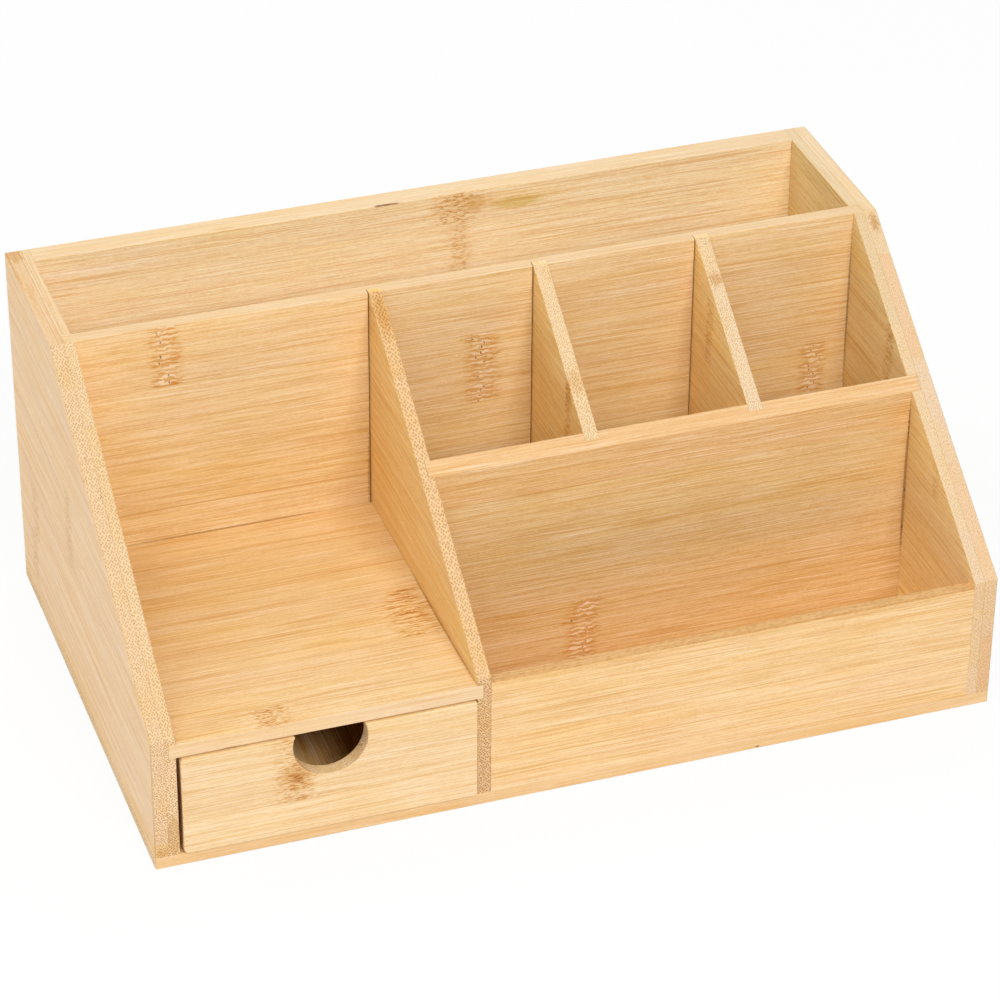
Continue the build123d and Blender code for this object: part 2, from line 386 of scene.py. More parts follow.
GLUE_STRENGTH = 0.5
GLUE_CUT_LOSS = 0.7  # the share of a glue line's strength that is lost on a cut end
SHEEN = 0.22  # the specular level of oiled bamboo
FACE_ROUGHNESS = 0.44
ROUGHER = 0.08  # what dense fibres and cut ends each add to it
RELIEF = 0.06 * MM  # the height of the fibres
RELIEF_STRENGTH = 0.35
BUNDLE_PIT = 0.8  # how deep a cut bundle lies, in shares of that height
BUNDLE_STRAY = 0.55  # how far the bundles stray from even rows, from 0 to 1
BUNDLE_EDGE = (0.12, 0.48)  # where a bundle ends, in shares of the space it has
BUNDLE_CLOUDING = 1.4  # how unevenly dark the bundles are
SLOPE_CROWDING = 1.2  # how much closer they are set on a sloping end, which draws them out
CUT, SQUARE, EDGE = (0.25, 0.5), (0.6, 0.9), (0.6, 0.9)  # how far a face turns to count as one


def shaded(colour: Colour, shade: Shade) -> Colour:
    """A colour multiplied by a shade, kept under full white."""
    red, green, blue = (min(WHITEST, part * by) for part, by in zip(colour, shade))
    return (red, green, blue, 1.0)


def partly(shade: Shade, share: float) -> Shade:
    """A shade applied over a share of a surface, as its mean."""
    return (1 - share * (1 - shade[0]), 1 - share * (1 - shade[1]), 1 - share * (1 - shade[2]))


def undone(shade: Shade) -> Shade:
    """The shade that takes another one back."""
    return (1 / shade[0], 1 / shade[1], 1 / shade[2])


@dataclass(frozen=True)
class Streak:
    """Noise drawn out along the grain.

    Attributes:
        length, width: The size of one streak, in millimetres.
        start: Where its noise is read, so that no two streaks are alike.
        detail: How many finer layers it has.
        share: How much it adds to the density of the fibres.
        step: The noise at which it starts to show and at which it is full.
    """

    length: float
    width: float
    start: float
    detail: float = 0.0
    share: float = 0.0
    step: tuple[float, float] = (0.0, 1.0)


BANDS = Streak(240.0, 4.0, 3.0, 2.0, 0.5, (0.35, 0.62))
BUNCHES = Streak(120.0, 1.3, 17.0, 1.0, 0.6)
LINES = Streak(60.0, 0.52, 31.0, 0.0, 0.8, (0.54, 0.74))
PALE_LINES = Streak(60.0, 0.55, 47.0, 1.0, step=(0.36, 0.46))
WHITE_LINES = Streak(40.0, 0.50, 53.0, step=(0.62, 0.74))
FIBRES = Streak(24.0, 0.42, 61.0, share=1.3)
SHORT_FIBRES = Streak(5.0, 0.42, 71.0, share=0.7)
DASHES = Streak(1.3, 0.45, 83.0, share=0.6)
STREAK_ROUGHNESS = 0.6  # how strong the finer layers of each are
LEVEL = -0.13  # brings the mean of all of them to nothing
CLUSTERING = 0.6  # the share of the lines' strength that follows the bands
SWAY = 0.8  # how far the fibres wander over a face, in millimetres
CURL = 2.0  # how far they wander in a joint of the cane
WHITE_SHARE = 0.3  # how far a white line goes to WHITE_FIBRE


class Figure(Enum):
    """How a joint of the cane shows: as stacked lenses, or in a flatter cut as flecks or strokes."""

    LENSES = 0
    FLECKS = 1
    STROKES = 2


FLECK_SIZES = {Figure.FLECKS: (2.4, 0.5), Figure.STROKES: (8.0, 0.9)}  # length and width of one
PIT = 0.15  # how deep the flames and flecks of a joint lie, in shares of RELIEF
PORE_PIT = 0.2  # the same for its pores
RAGGED, LEAN = 1.3, 5.0  # how ragged a joint's ends are, and how far it leans, in millimetres


@dataclass(frozen=True)
class Knuckle:
    """A joint of the cane, which crosses one strip.

    Attributes:
        strip: The strip's number, counted from the board's low edge.
        along: Its place along the grain, in millimetres of the part's frame.
        reach: Half its length along the grain, in millimetres.
        strength: How strongly it is drawn, from 0 to 1.
        figure: How it shows.
    """

    strip: int
    along: float
    reach: float = 7.0
    strength: float = 1.0
    figure: Figure = Figure.LENSES


@dataclass(frozen=True)
class Ply:
    """One layer of a board: strips glued edge to edge.

    Attributes:
        seams: Where two strips meet, across the board, in millimetres of the part's frame.
        tones: Each strip's tone, one more than there are seams.
        knuckles: The joints of the cane that show.
        contrast: How strongly its fibres show, 1 for most.
    """

    seams: tuple[float, ...]
    tones: tuple[Tone, ...]
    knuckles: tuple[Knuckle, ...] = ()
    contrast: float = 1.0


@dataclass(frozen=True)
class Mark:
    """A stain, speck or line on a board, or a patch of painted shade, with a ragged edge.

    Attributes:
        place: Its middle, in millimetres of the part's frame.
        half: Half its size along X, Y and Z.
        shade: How it multiplies the colour.
        strength: How strongly it is drawn, from 0 to 1.
        edge: The share of its size over which it fades out.
        ragged: How far its edge is broken up.
    """

    place: tuple[float, float, float]
    half: tuple[float, float, float]
    shade: Shade = BROWN_SHADE
    strength: float = 1.0
    edge: float = 0.5
    ragged: float = 0.6


@dataclass(frozen=True)
class Spot:
    """Where a point lies in its board, as fields.

    Attributes:
        place: The point itself, in millimetres.
        along, across, through: The same, along the board's own ways.
        end_on: How far its face is turned to the board's end, from 0 to 1.
        edge_on: How far its face is turned to a long edge, from 0 to 1.
        arris: 1 on a rounded arris, 0 on a flat face.
        strip: The number of its strip, counted through the plies.
        glue: 1 on a glue line.
        chance: A number from 0 to 1 that each strip has for itself.
        shift: Where this strip reads its noises.
        contrast: How strongly its fibres show.
        knuckles: How strongly each figure of a joint shows there, from 0 to 1.
        bow: How far it lies from the joint's middle, in shares of the joint's reach.
    """

    place: Field
    along: Field
    across: Field
    through: Field
    end_on: Field
    edge_on: Field
    arris: Field
    strip: Field
    glue: Field
    chance: Field
    shift: Field
    contrast: Field | float
    knuckles: Mapping[Figure, Field]
    bow: Field


@dataclass(frozen=True)
class Bamboo:
    """The finish of one board: oiled laminated cane.

    Attributes:
        ground: The mean colour of its faces.
        grain, across, through: The fibres' direction, the board's other wide way and its thickness.
        plies: Its layers from the low face to the high one.
        ply_seam: Where two layers meet, in millimetres of the part's frame.
        seed: Sets this board's own fibres.
        marks: Stains, specks and lines on it, and patches of painted shade.
        arris_shade: How its rounded arrises differ from its faces.
        end_shade: How its sloping ends differ from its faces: partly the end grain's own colour,
            partly painted shade and painted light that offset how much light a sloping end gets.
        square_shade: How its square ends differ from its faces, in the same two parts.
        edge_shade: How its long edges differ from its faces, in the same two parts.
        edge_mottle: How strongly those edges are mottled, from 0 to 1.
        edge_calm: The share of the fibres' contrast that those edges lack.
        bundle_pitch, square_pitch: How far apart the fibre bundles show on a sloping and on a square
            end, in millimetres.
        bundle_depth, square_depth: How dark they are there, from 0 to 1.
    """

    ground: Colour
    grain: Axis
    across: Axis
    through: Axis
    plies: tuple[Ply, ...]
    ply_seam: float = 0.0
    seed: float = 0.0
    marks: tuple[Mark, ...] = ()
    arris_shade: Shade = ARRIS_SHADE
    end_shade: Shade = PLAIN
    square_shade: Shade = PLAIN
    edge_shade: Shade = PLAIN
    edge_mottle: float = 0.0
    edge_calm: float = 0.5
    bundle_pitch: float = 0.82
    square_pitch: float = 1.0
    bundle_depth: float = 0.65
    square_depth: float = 0.85

    def material(self, name: str) -> bpy.types.Material:
        """Builds the board's material.

        Args:
            name: The material's name.

        Returns:
            The finished material.
        """
        shader = Shader(name)
        spot = self._spot(shader)
        tone = self._tone(shader, spot)
        face, density, height = self._long_grain(shader, spot, tone)
        end, bundles = self._cut_grain(shader, spot, tone)
        cut = spot.end_on.rise(*CUT)
        colour = shader.mix(cut, face, end)
        colour = shader.shade(colour, GLUE_SHADE, spot.glue * GLUE_STRENGTH)
        colour = shader.shade(colour, self.arris_shade, spot.arris * ARRIS_STRENGTH)
        colour, pits = self._marks(shader, spot, colour)
        level = height * (1 - cut) - bundles * cut * BUNDLE_PIT - pits
        bump = shader.node(
            "ShaderNodeBump", inputs={"Strength": RELIEF_STRENGTH, "Distance": RELIEF, "Height": level}
        )
        return shader.surface(
            {
                "Base Color": colour,
                "Roughness": density * ROUGHER + cut * ROUGHER + FACE_ROUGHNESS,
                "Specular IOR Level": SHEEN,
                "Normal": bump,
            }
        )

    def _spot(self, shader: Shader) -> Spot:
        """Works out where a point lies in the board, its strip and the joint that it is in.

        Args:
            shader: The material's tree.

        Returns:
            All of it, as fields.
        """
        seen = shader.node("ShaderNodeTexCoord")
        place = shader.node(
            "ShaderNodeVectorMath", {"operation": "SCALE"}, {0: seen.output("Object"), 3: 1 / MM}
        )
        parts = shader.node("ShaderNodeSeparateXYZ", inputs={0: place})
        facing = shader.node("ShaderNodeSeparateXYZ", inputs={0: seen.output("Normal")})
        along = parts.output(self.grain.value)
        across = parts.output(self.across.value)
        through = parts.output(self.through.value)
        turned = [abs(facing.output(i)) for i in range(3)]
        sloped = abs(facing.output(1) * -SLOPE_NORMAL.y + facing.output(2) * -SLOPE_NORMAL.z)
        squarest = turned[0].larger(turned[1]).larger(turned[2]).larger(sloped)
        cut = turned[self.grain.value].rise(*CUT)
        strip, glue = self._strips(across, self.plies[0].seams)
        kept = 1 - cut * GLUE_CUT_LOSS
        glue = glue * kept
        contrast = self.plies[0].contrast
        if len(self.plies) > 1:
            upper = through.above(self.ply_seam)
            upper_strip, upper_glue = self._strips(across, self.plies[1].seams)
            strip = strip * (1 - upper) + (upper_strip + len(self.plies[0].tones)) * upper
            glue = glue * (1 - upper) + upper_glue * upper * kept
            glue = glue + through.is_near(self.ply_seam, GLUE_HALF_WIDTH)
            contrast = upper * (self.plies[1].contrast - contrast) + contrast
        chance = shader.node(
            "ShaderNodeTexWhiteNoise", {"noise_dimensions": "1D"}, {"W": strip + (self.seed + 0.5)}
        )
        knuckles, bow = self._knuckles(shader, along, across, strip)
        on_face = (1 - cut) * (1 - turned[self.across.value].rise(*EDGE))
        return Spot(
            place=place,
            along=along,
            across=across,
            through=through,
            end_on=turned[self.grain.value],
            edge_on=turned[self.across.value],
            arris=(1 - squarest).rise(*ARRIS_STEP),
            strip=strip,
            glue=glue,
            chance=chance,
            shift=chance * STRIP_SPAN + self.seed,
            contrast=contrast,
            knuckles={figure: shown * on_face for figure, shown in knuckles.items()},
            bow=bow,
        )

    @staticmethod
    def _strips(across: Field, seams: Sequence[float]) -> tuple[Field, Field]:
        """Finds the strip that a point lies in.

        Args:
            across: Where the point lies across the board.
            seams: Where two strips meet.

        Returns:
            The strip's number, and 1 on the glue line between two strips.
        """
        number, glue = across * 0.0, across * 0.0
        for seam in seams:
            number = number + across.above(seam)
            glue = glue + across.is_near(seam, GLUE_HALF_WIDTH)
        return number, glue

    def _knuckles(
        self, shader: Shader, along: Field, across: Field, strip: Field
    ) -> tuple[Mapping[Figure, Field], Field]:
        """Finds how deep a point lies in the joints of the cane.

        Args:
            shader: The material's tree.
            along, across: Where the point lies along and across the grain.
            strip: The number of its strip.

        Returns:
            For each figure how strongly it shows there, from 0 to 1, with ragged ends, and how far
            the point lies from the joint's middle, in shares of the joint's reach.
        """
        ragged = shader.noise(shader.point(along * 0.12, across * 0.5, self.seed), detail=3.0) - 0.5
        lean = shader.noise(shader.point(along * 0.02, across * 0.16, self.seed + 5), detail=1.0) - 0.5
        shown = {figure: along * 0.0 for figure in Figure}
        bow = along * 0.0
        first = 0
        for ply in self.plies:
            for joint in ply.knuckles:
                in_strip = strip.is_near(first + joint.strip)
                offset = (along - joint.along + lean * LEAN) / joint.reach
                cover = 1 - (abs(offset) + ragged * RAGGED).rise(0.5, 1.3)
                shown[joint.figure] = shown[joint.figure] + in_strip * cover * joint.strength
                bow = bow + in_strip * offset * offset.is_near(0.0, 1.5)
            first += len(ply.tones)
        return shown, bow

    def _tone(self, shader: Shader, spot: Spot) -> Field:
        """Works out the colour of the strip, with a slow drift of its hue along it.

        Args:
            shader: The material's tree.
            spot: Where the point lies.

        Returns:
            The colour.
        """
        tones = [tone for ply in self.plies for tone in ply.tones]
        stops = [(i / len(tones), shaded(self.ground, tone.value)) for i, tone in enumerate(tones)]
        colour = shader.node(
            "ShaderNodeValToRGB", {"stops": stops}, {0: (spot.strip + 0.5) / float(len(tones))}
        )
        start = spot.through / DRIFT_WIDTH + spot.chance * 40
        place = shader.point(spot.along / DRIFT_LENGTH, spot.across / DRIFT_WIDTH, start)
        drift = shader.noise(place)
        mauve = drift.rise(*MAUVE_STEP) * (1 - spot.edge_on.rise(*EDGE))
        colour = shader.shade(colour, MAUVE_SHADE, mauve)
        return shader.shade(colour, ORANGE_SHADE, 1 - drift.rise(*ORANGE_STEP))

    def _long_grain(self, shader: Shader, spot: Spot, tone: Field) -> tuple[Field, Field, Field]:
        """Draws the fibres along a face.

        Args:
            shader: The material's tree.
            spot: Where the point lies.
            tone: The strip's colour.

        Returns:
            The face's colour, how dense its fibres are and how high they stand.
        """
        sway = shader.noise(shader.point(spot.along / 40, spot.across / 10, spot.shift), 1.0) - 0.5
        curl = shader.noise(shader.point(spot.along / 4, spot.across / 2.6, spot.shift), 1.0) - 0.5
        jointed = spot.knuckles[Figure.LENSES].larger(spot.knuckles[Figure.FLECKS])
        jointed = jointed.larger(spot.knuckles[Figure.STROKES])
        across = spot.across + sway * SWAY + curl * jointed * CURL

        def drawn(streak: Streak) -> Field:
            """Draws the noise of one streak.

            Args:
                streak: Its size and where it is read.

            Returns:
                The noise, from 0 to 1.
            """
            along = (spot.along + spot.shift) / streak.length
            through = spot.through / streak.width + streak.start
            place = shader.point(along, across / streak.width, through)
            return shader.noise(place, streak.detail, STREAK_ROUGHNESS)

        bands, fibres = drawn(BANDS), drawn(FIBRES)
        lines = drawn(LINES).rise(*LINES.step)
        pale = 1 - drawn(PALE_LINES).rise(*PALE_LINES.step)
        white = drawn(WHITE_LINES).rise(*WHITE_LINES.step)
        cluster = bands.rise(*BANDS.step) * CLUSTERING + (1 - CLUSTERING)
        varied = (bands - 0.5) * BANDS.share + (fibres - 0.5) * FIBRES.share
        varied = varied + lines * cluster * LINES.share
        for streak in (BUNCHES, SHORT_FIBRES, DASHES):
            varied = varied + (drawn(streak) - 0.5) * streak.share
        on_edge = spot.edge_on.rise(*EDGE)
        contrast = spot.contrast * (1 - on_edge * self.edge_calm)
        density = ((varied + LEVEL) * contrast + MEAN_DENSITY).clamped()
        colour = shader.shade(tone, undone(partly(FIBRE_SHADE, MEAN_DENSITY)))
        colour = shader.shade(colour, FIBRE_SHADE, density)
        colour = shader.shade(colour, PALE_FIBRE_SHADE, pale * (1 - density))
        colour = shader.mix(white * contrast * WHITE_SHARE, colour, WHITE_FIBRE)
        # The long edges' own colour together with painted shade and light that offset the light they
        # get.
        if self.edge_shade != PLAIN:
            colour = shader.shade(colour, self.edge_shade, on_edge)
        if self.edge_mottle:
            mottle = shader.noise(shader.point(spot.along / 1.8, across, spot.through / 0.8))
            patches = on_edge * mottle.rise(*MOTTLE_STEP) * self.edge_mottle
            colour = shader.shade(colour, MOTTLE_SHADE, patches)
        return colour, density, (fibres - lines) * 0.5

    def _cut_grain(self, shader: Shader, spot: Spot, tone: Field) -> tuple[Field, Field]:
        """Draws a cut end: fibre bundles as staggered dots that differ from strip to strip.

        Args:
            shader: The material's tree.
            spot: Where the point lies.
            tone: The strip's colour.

        Returns:
            The end's colour and how much of a bundle the point is in.
        """
        square_cut = spot.end_on.rise(*SQUARE)
        pitch = square_cut * (self.square_pitch - self.bundle_pitch) + self.bundle_pitch
        size = (spot.chance * 0.2 + 0.9) * pitch * math.sqrt(2)
        across = spot.across * (SLOPE_CROWDING - square_cut * (SLOPE_CROWDING - 1))
        first = (across + spot.through) / size
        second = (across - spot.through) / size
        cell = shader.node(
            "ShaderNodeTexVoronoi",
            {"voronoi_dimensions": "2D", "feature": "F1"},
            {"Vector": shader.point(first, second, 0.0), "Scale": 1.0, "Randomness": BUNDLE_STRAY},
        )
        dots = 1 - cell.rise(*BUNDLE_EDGE)
        cloud = shader.noise(shader.point(spot.across / 4, spot.through / 2.5, spot.along / 40))
        depth = square_cut * (self.square_depth - self.bundle_depth) + self.bundle_depth
        bundles = (dots * ((cloud - 0.5) * BUNDLE_CLOUDING + 1.0) * depth).clamped()
        colour = shader.shade(tone, undone(partly(BUNDLE_SHADE, MEAN_BUNDLES * self.bundle_depth)))
        colour = shader.shade(colour, PITH_SHADE, 1 - bundles)
        # The ends' own colour together with painted shade and light that offset the light each kind of
        # end gets.
        colour = shader.shade(colour, self.end_shade, 1 - square_cut)
        colour = shader.shade(colour, self.square_shade, square_cut)
        colour = shader.shade(colour, BUNDLE_SHADE, bundles)
        return colour, bundles

    def _marks(self, shader: Shader, spot: Spot, colour: Field) -> tuple[Field, Field]:
        """Draws the joints of the cane and the marks, painted shade among them.

        Args:
            shader: The material's tree.
            spot: Where the point lies.
            colour: The colour to draw on.

        Returns:
            The new colour and how deep the joints' pits are.
        """
        pits = spot.along * 0.0
        figures = {joint.figure for ply in self.plies for joint in ply.knuckles}
        if Figure.LENSES in figures:
            colour, made = self._lenses(shader, spot, colour)
            pits = pits + made
        for figure, (length, width) in FLECK_SIZES.items():
            if figure in figures:
                colour, made = self._flecks(shader, spot, colour, figure, length, width)
                pits = pits + made
        if self.marks:
            place = shader.point(spot.along / 3, spot.across / 0.9, spot.through / 0.9)
            rough = shader.noise(place) - 0.5
            for mark in self.marks:
                moved = shader.vector("SUBTRACT", spot.place, mark.place)
                scaled = shader.vector("DIVIDE", moved, mark.half)
                distance = shader.vector("LENGTH", scaled).output("Value") + rough * mark.ragged
                drawn = (1 - distance.rise(1 - mark.edge, 1.0)) * mark.strength
                colour = shader.shade(colour, mark.shade, drawn)
        return colour, pits

    def _lenses(self, shader: Shader, spot: Spot, colour: Field) -> tuple[Field, Field]:
        """Draws the joints whose fibres part into pale lenses, with flames between them and pores.

        Args:
            shader: The material's tree.
            spot: Where the point lies.
            colour: The colour to draw on.

        Returns:
            The new colour and how deep the flames and pores are.
        """
        shown = spot.knuckles[Figure.LENSES]
        bend = shader.noise(shader.point(spot.along / 3.5, spot.across / 2.2, spot.shift + 3)) - 0.5
        count = (spot.across + bend * LENS_BEND) / LENS_PITCH + spot.shift
        gap = abs(count.part() - 0.5) * 2
        own = shader.node(
            "ShaderNodeTexWhiteNoise", {"noise_dimensions": "1D"}, {"W": count - count.part() + 0.5}
        )
        other = (own * 7.3).part()
        bow = spot.bow + (own - 0.5) * LENS_STAGGER
        reach = abs(bow)
        middle = 1 - reach.rise(*LENS_SPAN)
        taper = abs(reach - FLAME_PLACE) * (other * 0.4 + 0.35)
        flame = (gap - FLAME_GAP - taper).rise(0.0, 0.35) * shown
        light = (1 - gap.rise(*LENS_EDGE)) * middle * shown * (other * 0.8 + 0.4)
        rim = (1 - abs(gap - 0.6).rise(0.05, 0.3)) * middle * shown
        pore = (1 - (abs(bow - (other - 0.5) * 0.7) * 9 + gap * 1.5).rise(0.3, 0.9)) * shown
        colour = shader.shade(colour, KNUCKLE_SHADE, shown * 0.5)
        colour = shader.mix(light * 0.5, colour, WHITE_FIBRE)
        colour = shader.shade(colour, CORE_SHADE, rim * 0.3)
        colour = shader.shade(colour, FLAME_SHADE, flame * (0.85 - middle * 0.35) * (own * 0.6 + 0.7))
        colour = shader.shade(colour, PORE_SHADE, pore * own.above(0.35))
        return colour, flame * PIT + pore * PORE_PIT

    @staticmethod
    def _flecks(
        shader: Shader, spot: Spot, colour: Field, figure: Figure, length: float, width: float
    ) -> tuple[Field, Field]:
        """Draws the joints of one figure as flecks.

        Args:
            shader: The material's tree.
            spot: Where the point lies.
            colour: The colour to draw on.
            figure: The joints' figure.
            length, width: The size of a fleck, in millimetres.

        Returns:
            The new colour, darker towards a joint's middle, and the pits.
        """
        shown = spot.knuckles[figure]
        middle = 1 - abs(spot.bow).rise(0.1, 0.9)
        wave = shader.noise(shader.point(spot.along / 2.5, spot.across / 2, spot.shift), 1.0) - 0.5
        place = shader.point(
            spot.along / length, spot.across / width + wave * FLECK_WAVE, spot.through / 2 + spot.shift
        )
        fleck = shader.noise(place, 1.0)
        dark = fleck.rise(0.5, 0.66) * shown
        pale = (1 - fleck.rise(0.36, 0.48)) * shown
        colour = shader.shade(colour, KNUCKLE_SHADE, shown * middle)
        colour = shader.mix(pale * 0.3, colour, WHITE_FIBRE)
        colour = shader.shade(colour, FLAME_SHADE, dark * (middle * 0.6 + 0.4))
        colour = shader.shade(colour, CORE_SHADE, dark * middle * 0.6)
        return colour, dark * PIT


FRONT_RIM_STEP = 2.5  # how far the sides stand above the front panel, in millimetres


def rim_slope_normal() -> Vector:
    """Finds the outward normal of the rim's slope.

    Returns:
        The normal, from the boxes of the boards at the slope's two ends.
    """
    low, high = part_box("left_side")
    panel_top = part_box("front_panel")[1].z
    divider_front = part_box("rear_divider")[0].y
    rise = high.z - (panel_top + FRONT_RIM_STEP * MM)
    run = divider_front - low.y
    return Vector((0.0, -rise, run)).normalized()


SLOPE_NORMAL = rim_slope_normal()


# ---- Boards ----
@dataclass(frozen=True)
class Board:
    """One board.

    Attributes:
        node: The node that holds its shape.
        finish: Its bamboo.
    """

    node: str
    finish: Bamboo

    def dress(self) -> None:
        """Gives the node its finish."""
        material = self.finish.material(f"{self.node}_bamboo")
        for slot in frame["nodes"][self.node].material_slots:
            slot.material = material
        log.info("dressed %s", self.node)


P, H, G, A = Tone.PALE, Tone.HONEY, Tone.GOLD, Tone.AMBER  # short names for the rows of strips
R, O, U = Tone.ROSY, Tone.OLIVE, Tone.RUSSET

Ways = dict[str, Axis]
WIDE: Ways = dict(grain=Axis.X, across=Axis.Z, through=Axis.Y)  # a board that stands across the part
DEEP: Ways = dict(grain=Axis.Y, across=Axis.Z, through=Axis.X)  # one that stands from front to back
FLAT: Ways = dict(grain=Axis.X, across=Axis.Y, through=Axis.Z)  # one that lies


@dataclass(frozen=True)
class Carcass:
    """The fixed boards: the base and all that stands on it.

    Attributes:
        outer_ply: The thickness of the lower ply of the sides and the back.
    """

    outer_ply: float = 5.6

    def build(self) -> None:
        """Dresses every board."""
        for board in (*self.outside(), *self.inside(), *self.cells()):
            board.dress()

    def outside(self) -> list[Board]:
        """Finishes the base, the sides, the back and the front panel.

        Returns:
            Those boards.
        """
        left_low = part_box("left_side")[0].x / MM
        right_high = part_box("right_side")[1].x / MM
        back_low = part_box("back_panel")[0].y / MM
        base = Bamboo(
            srgb(236, 198, 144), **FLAT, seed=11.0,
            edge_shade=(0.944, 0.915, 0.89),
            plies=(
                Ply((-88.0, -61.0, -33.0, -5.0, 24.0, 52.0, 80.0), (H, G, P, H, G, H, P, G), (
                    Knuckle(2, 60.0), Knuckle(5, -70.0),
                )),
            ),
            marks=(Mark((73.8, -107.0, 1.0), (1.3, 1.0, 0.5), NICK_AND_PAINTED_SHADE, 0.8),),
        )
        left = Bamboo(
            srgb(252, 214, 161), **DEEP, seed=23.0, ply_seam=left_low + self.outer_ply,
            end_shade=(0.668, 0.64, 0.592), square_shade=(0.75, 0.725, 0.70),
            edge_shade=(0.74, 0.714, 0.672), edge_calm=0.0,
            bundle_pitch=0.85, square_pitch=0.9, square_depth=0.95,
            plies=(
                Ply((11.6, 36.0, 62.0, 98.0, 128.0), (A, R, R, R, R, R), (
                    Knuckle(1, 84.0, 9.0, 0.5, Figure.FLECKS),
                    Knuckle(2, 78.0, 9.0, 0.5, Figure.FLECKS),
                    Knuckle(3, 15.0, 9.0, 0.5, Figure.FLECKS),
                ), 0.7),
                Ply((24.5, 50.0, 79.0, 108.0, 136.0), (O, H, G, H, G, H), (Knuckle(3, 40.0),)),
            ),
            marks=(
                Mark((-172.5, 103.0, 157.0), (5.0, 7.0, 2.0), (0.82, 0.68, 0.46), 0.8, ragged=1.4),
                Mark((-172.2, 72.0, 157.0), (1.8, 9.0, 1.0), (0.92, 0.78, 0.58), 0.6, ragged=1.6),
                Mark((-174.3, 88.0, 157.0), (0.9, 20.0, 1.0), (0.90, 0.74, 0.54), 0.7, ragged=1.6),
                # Painted shade: the inner face darker where it lines the drawer's gap.
                Mark((-165.0, -103.0, 28.0), (0.5, 5.0, 26.0), (0.42, 0.28, 0.18), 0.9, 0.6, 0.0),
                Mark((-167.2, -107.0, 14.5), (2.8, 0.8, 10.0), (0.88, 0.78, 0.66), 0.8, 0.2, 0.3),
                Mark((-172.0, -107.0, 7.3), (2.8, 0.8, 2.2), (0.86, 0.76, 0.62), 0.7, 0.3, 0.4),
            ),
        )
        right = Bamboo(
            srgb(241, 209, 147), **DEEP, seed=37.0, ply_seam=right_high - self.outer_ply,
            end_shade=(0.784, 0.765, 0.945), square_shade=(0.80, 0.73, 0.79),
            edge_shade=(0.887, 0.914, 1.228), bundle_depth=0.35, square_depth=0.45,
            plies=(
                Ply((18.9, 47.0, 74.0, 99.5, 127.0), (P, H, R, G, G, O), (
                    Knuckle(3, -65.0, 5.0, 0.4, Figure.FLECKS),
                    Knuckle(4, -12.0, 6.0, 1.0, Figure.FLECKS),
                )),
                Ply((33.0, 60.0, 90.0, 118.0, 145.0), (U, R, U, R, U, G), (Knuckle(2, 30.0),)),
            ),
            marks=(Mark((172.4, 25.0, 153.5), (2.4, 7.0, 5.0), (0.74, 0.56, 0.36), 0.9, 0.8, 1.4),),
        )
        back = Bamboo(
            srgb(247, 220, 171), **WIDE, seed=41.0, ply_seam=back_low + self.outer_ply,
            edge_shade=(0.843, 0.792, 0.795),
            plies=(
                Ply((28.0, 57.0, 88.0, 120.0, 143.0), (G, H, P, H, H, H), (
                    Knuckle(5, 14.0, 14.0, 0.9, Figure.FLECKS),
                    Knuckle(4, 16.0, 8.0, 0.6, Figure.FLECKS),
                    Knuckle(2, -110.0), Knuckle(1, 90.0),
                )),
                Ply((19.0, 47.0, 76.0, 104.0, 133.0), (U, R, U, R, U, H), (
                    Knuckle(1, -60.0), Knuckle(3, 95.0), Knuckle(4, -20.0, 8.0),
                )),
            ),
            marks=(
                Mark((41.0, 97.0, 148.5), (16.0, 3.0, 3.8), OLIVE_SHADE, 1.0, 0.6, 0.4),
                Mark((23.0, 97.0, 151.0), (9.0, 3.0, 6.0), (0.84, 0.70, 0.50), 0.9, 0.8, 1.2),
                Mark((-16.0, 97.2, 156.8), (8.0, 0.6, 0.6), (0.30, 0.18, 0.10), 0.9, 0.5, 1.2),
                # Painted shade: the right end of the back a little darker, where the front lamp lights
                # it more.
                Mark((110.0, 97.0, 120.0), (100.0, 3.0, 60.0), (0.95, 0.955, 0.95), 1.0, 0.8, 0.2),
                Mark((-86.0, 98.5, 157.0), (5.0, 1.6, 0.6), (0.84, 0.74, 0.56), 0.6, ragged=1.6),
            ),
        )
        front = Bamboo(
            srgb(230, 189, 132), **WIDE, seed=83.0, arris_shade=(0.78, 0.54, 0.18),
            edge_shade=(0.815, 0.74, 0.64), edge_mottle=0.9,
            plies=(Ply((31.0,), (P, H)),),
            marks=(Mark((60.0, -107.0, 57.0), (135.0, 2.0, 3.6), (0.94, 0.88, 0.76), 1.0, 0.7, 0.3),),
        )
        return [
            Board("base_panel", base),
            Board("left_side", left),
            Board("right_side", right),
            Board("back_panel", back),
            Board("front_panel", front),
        ]

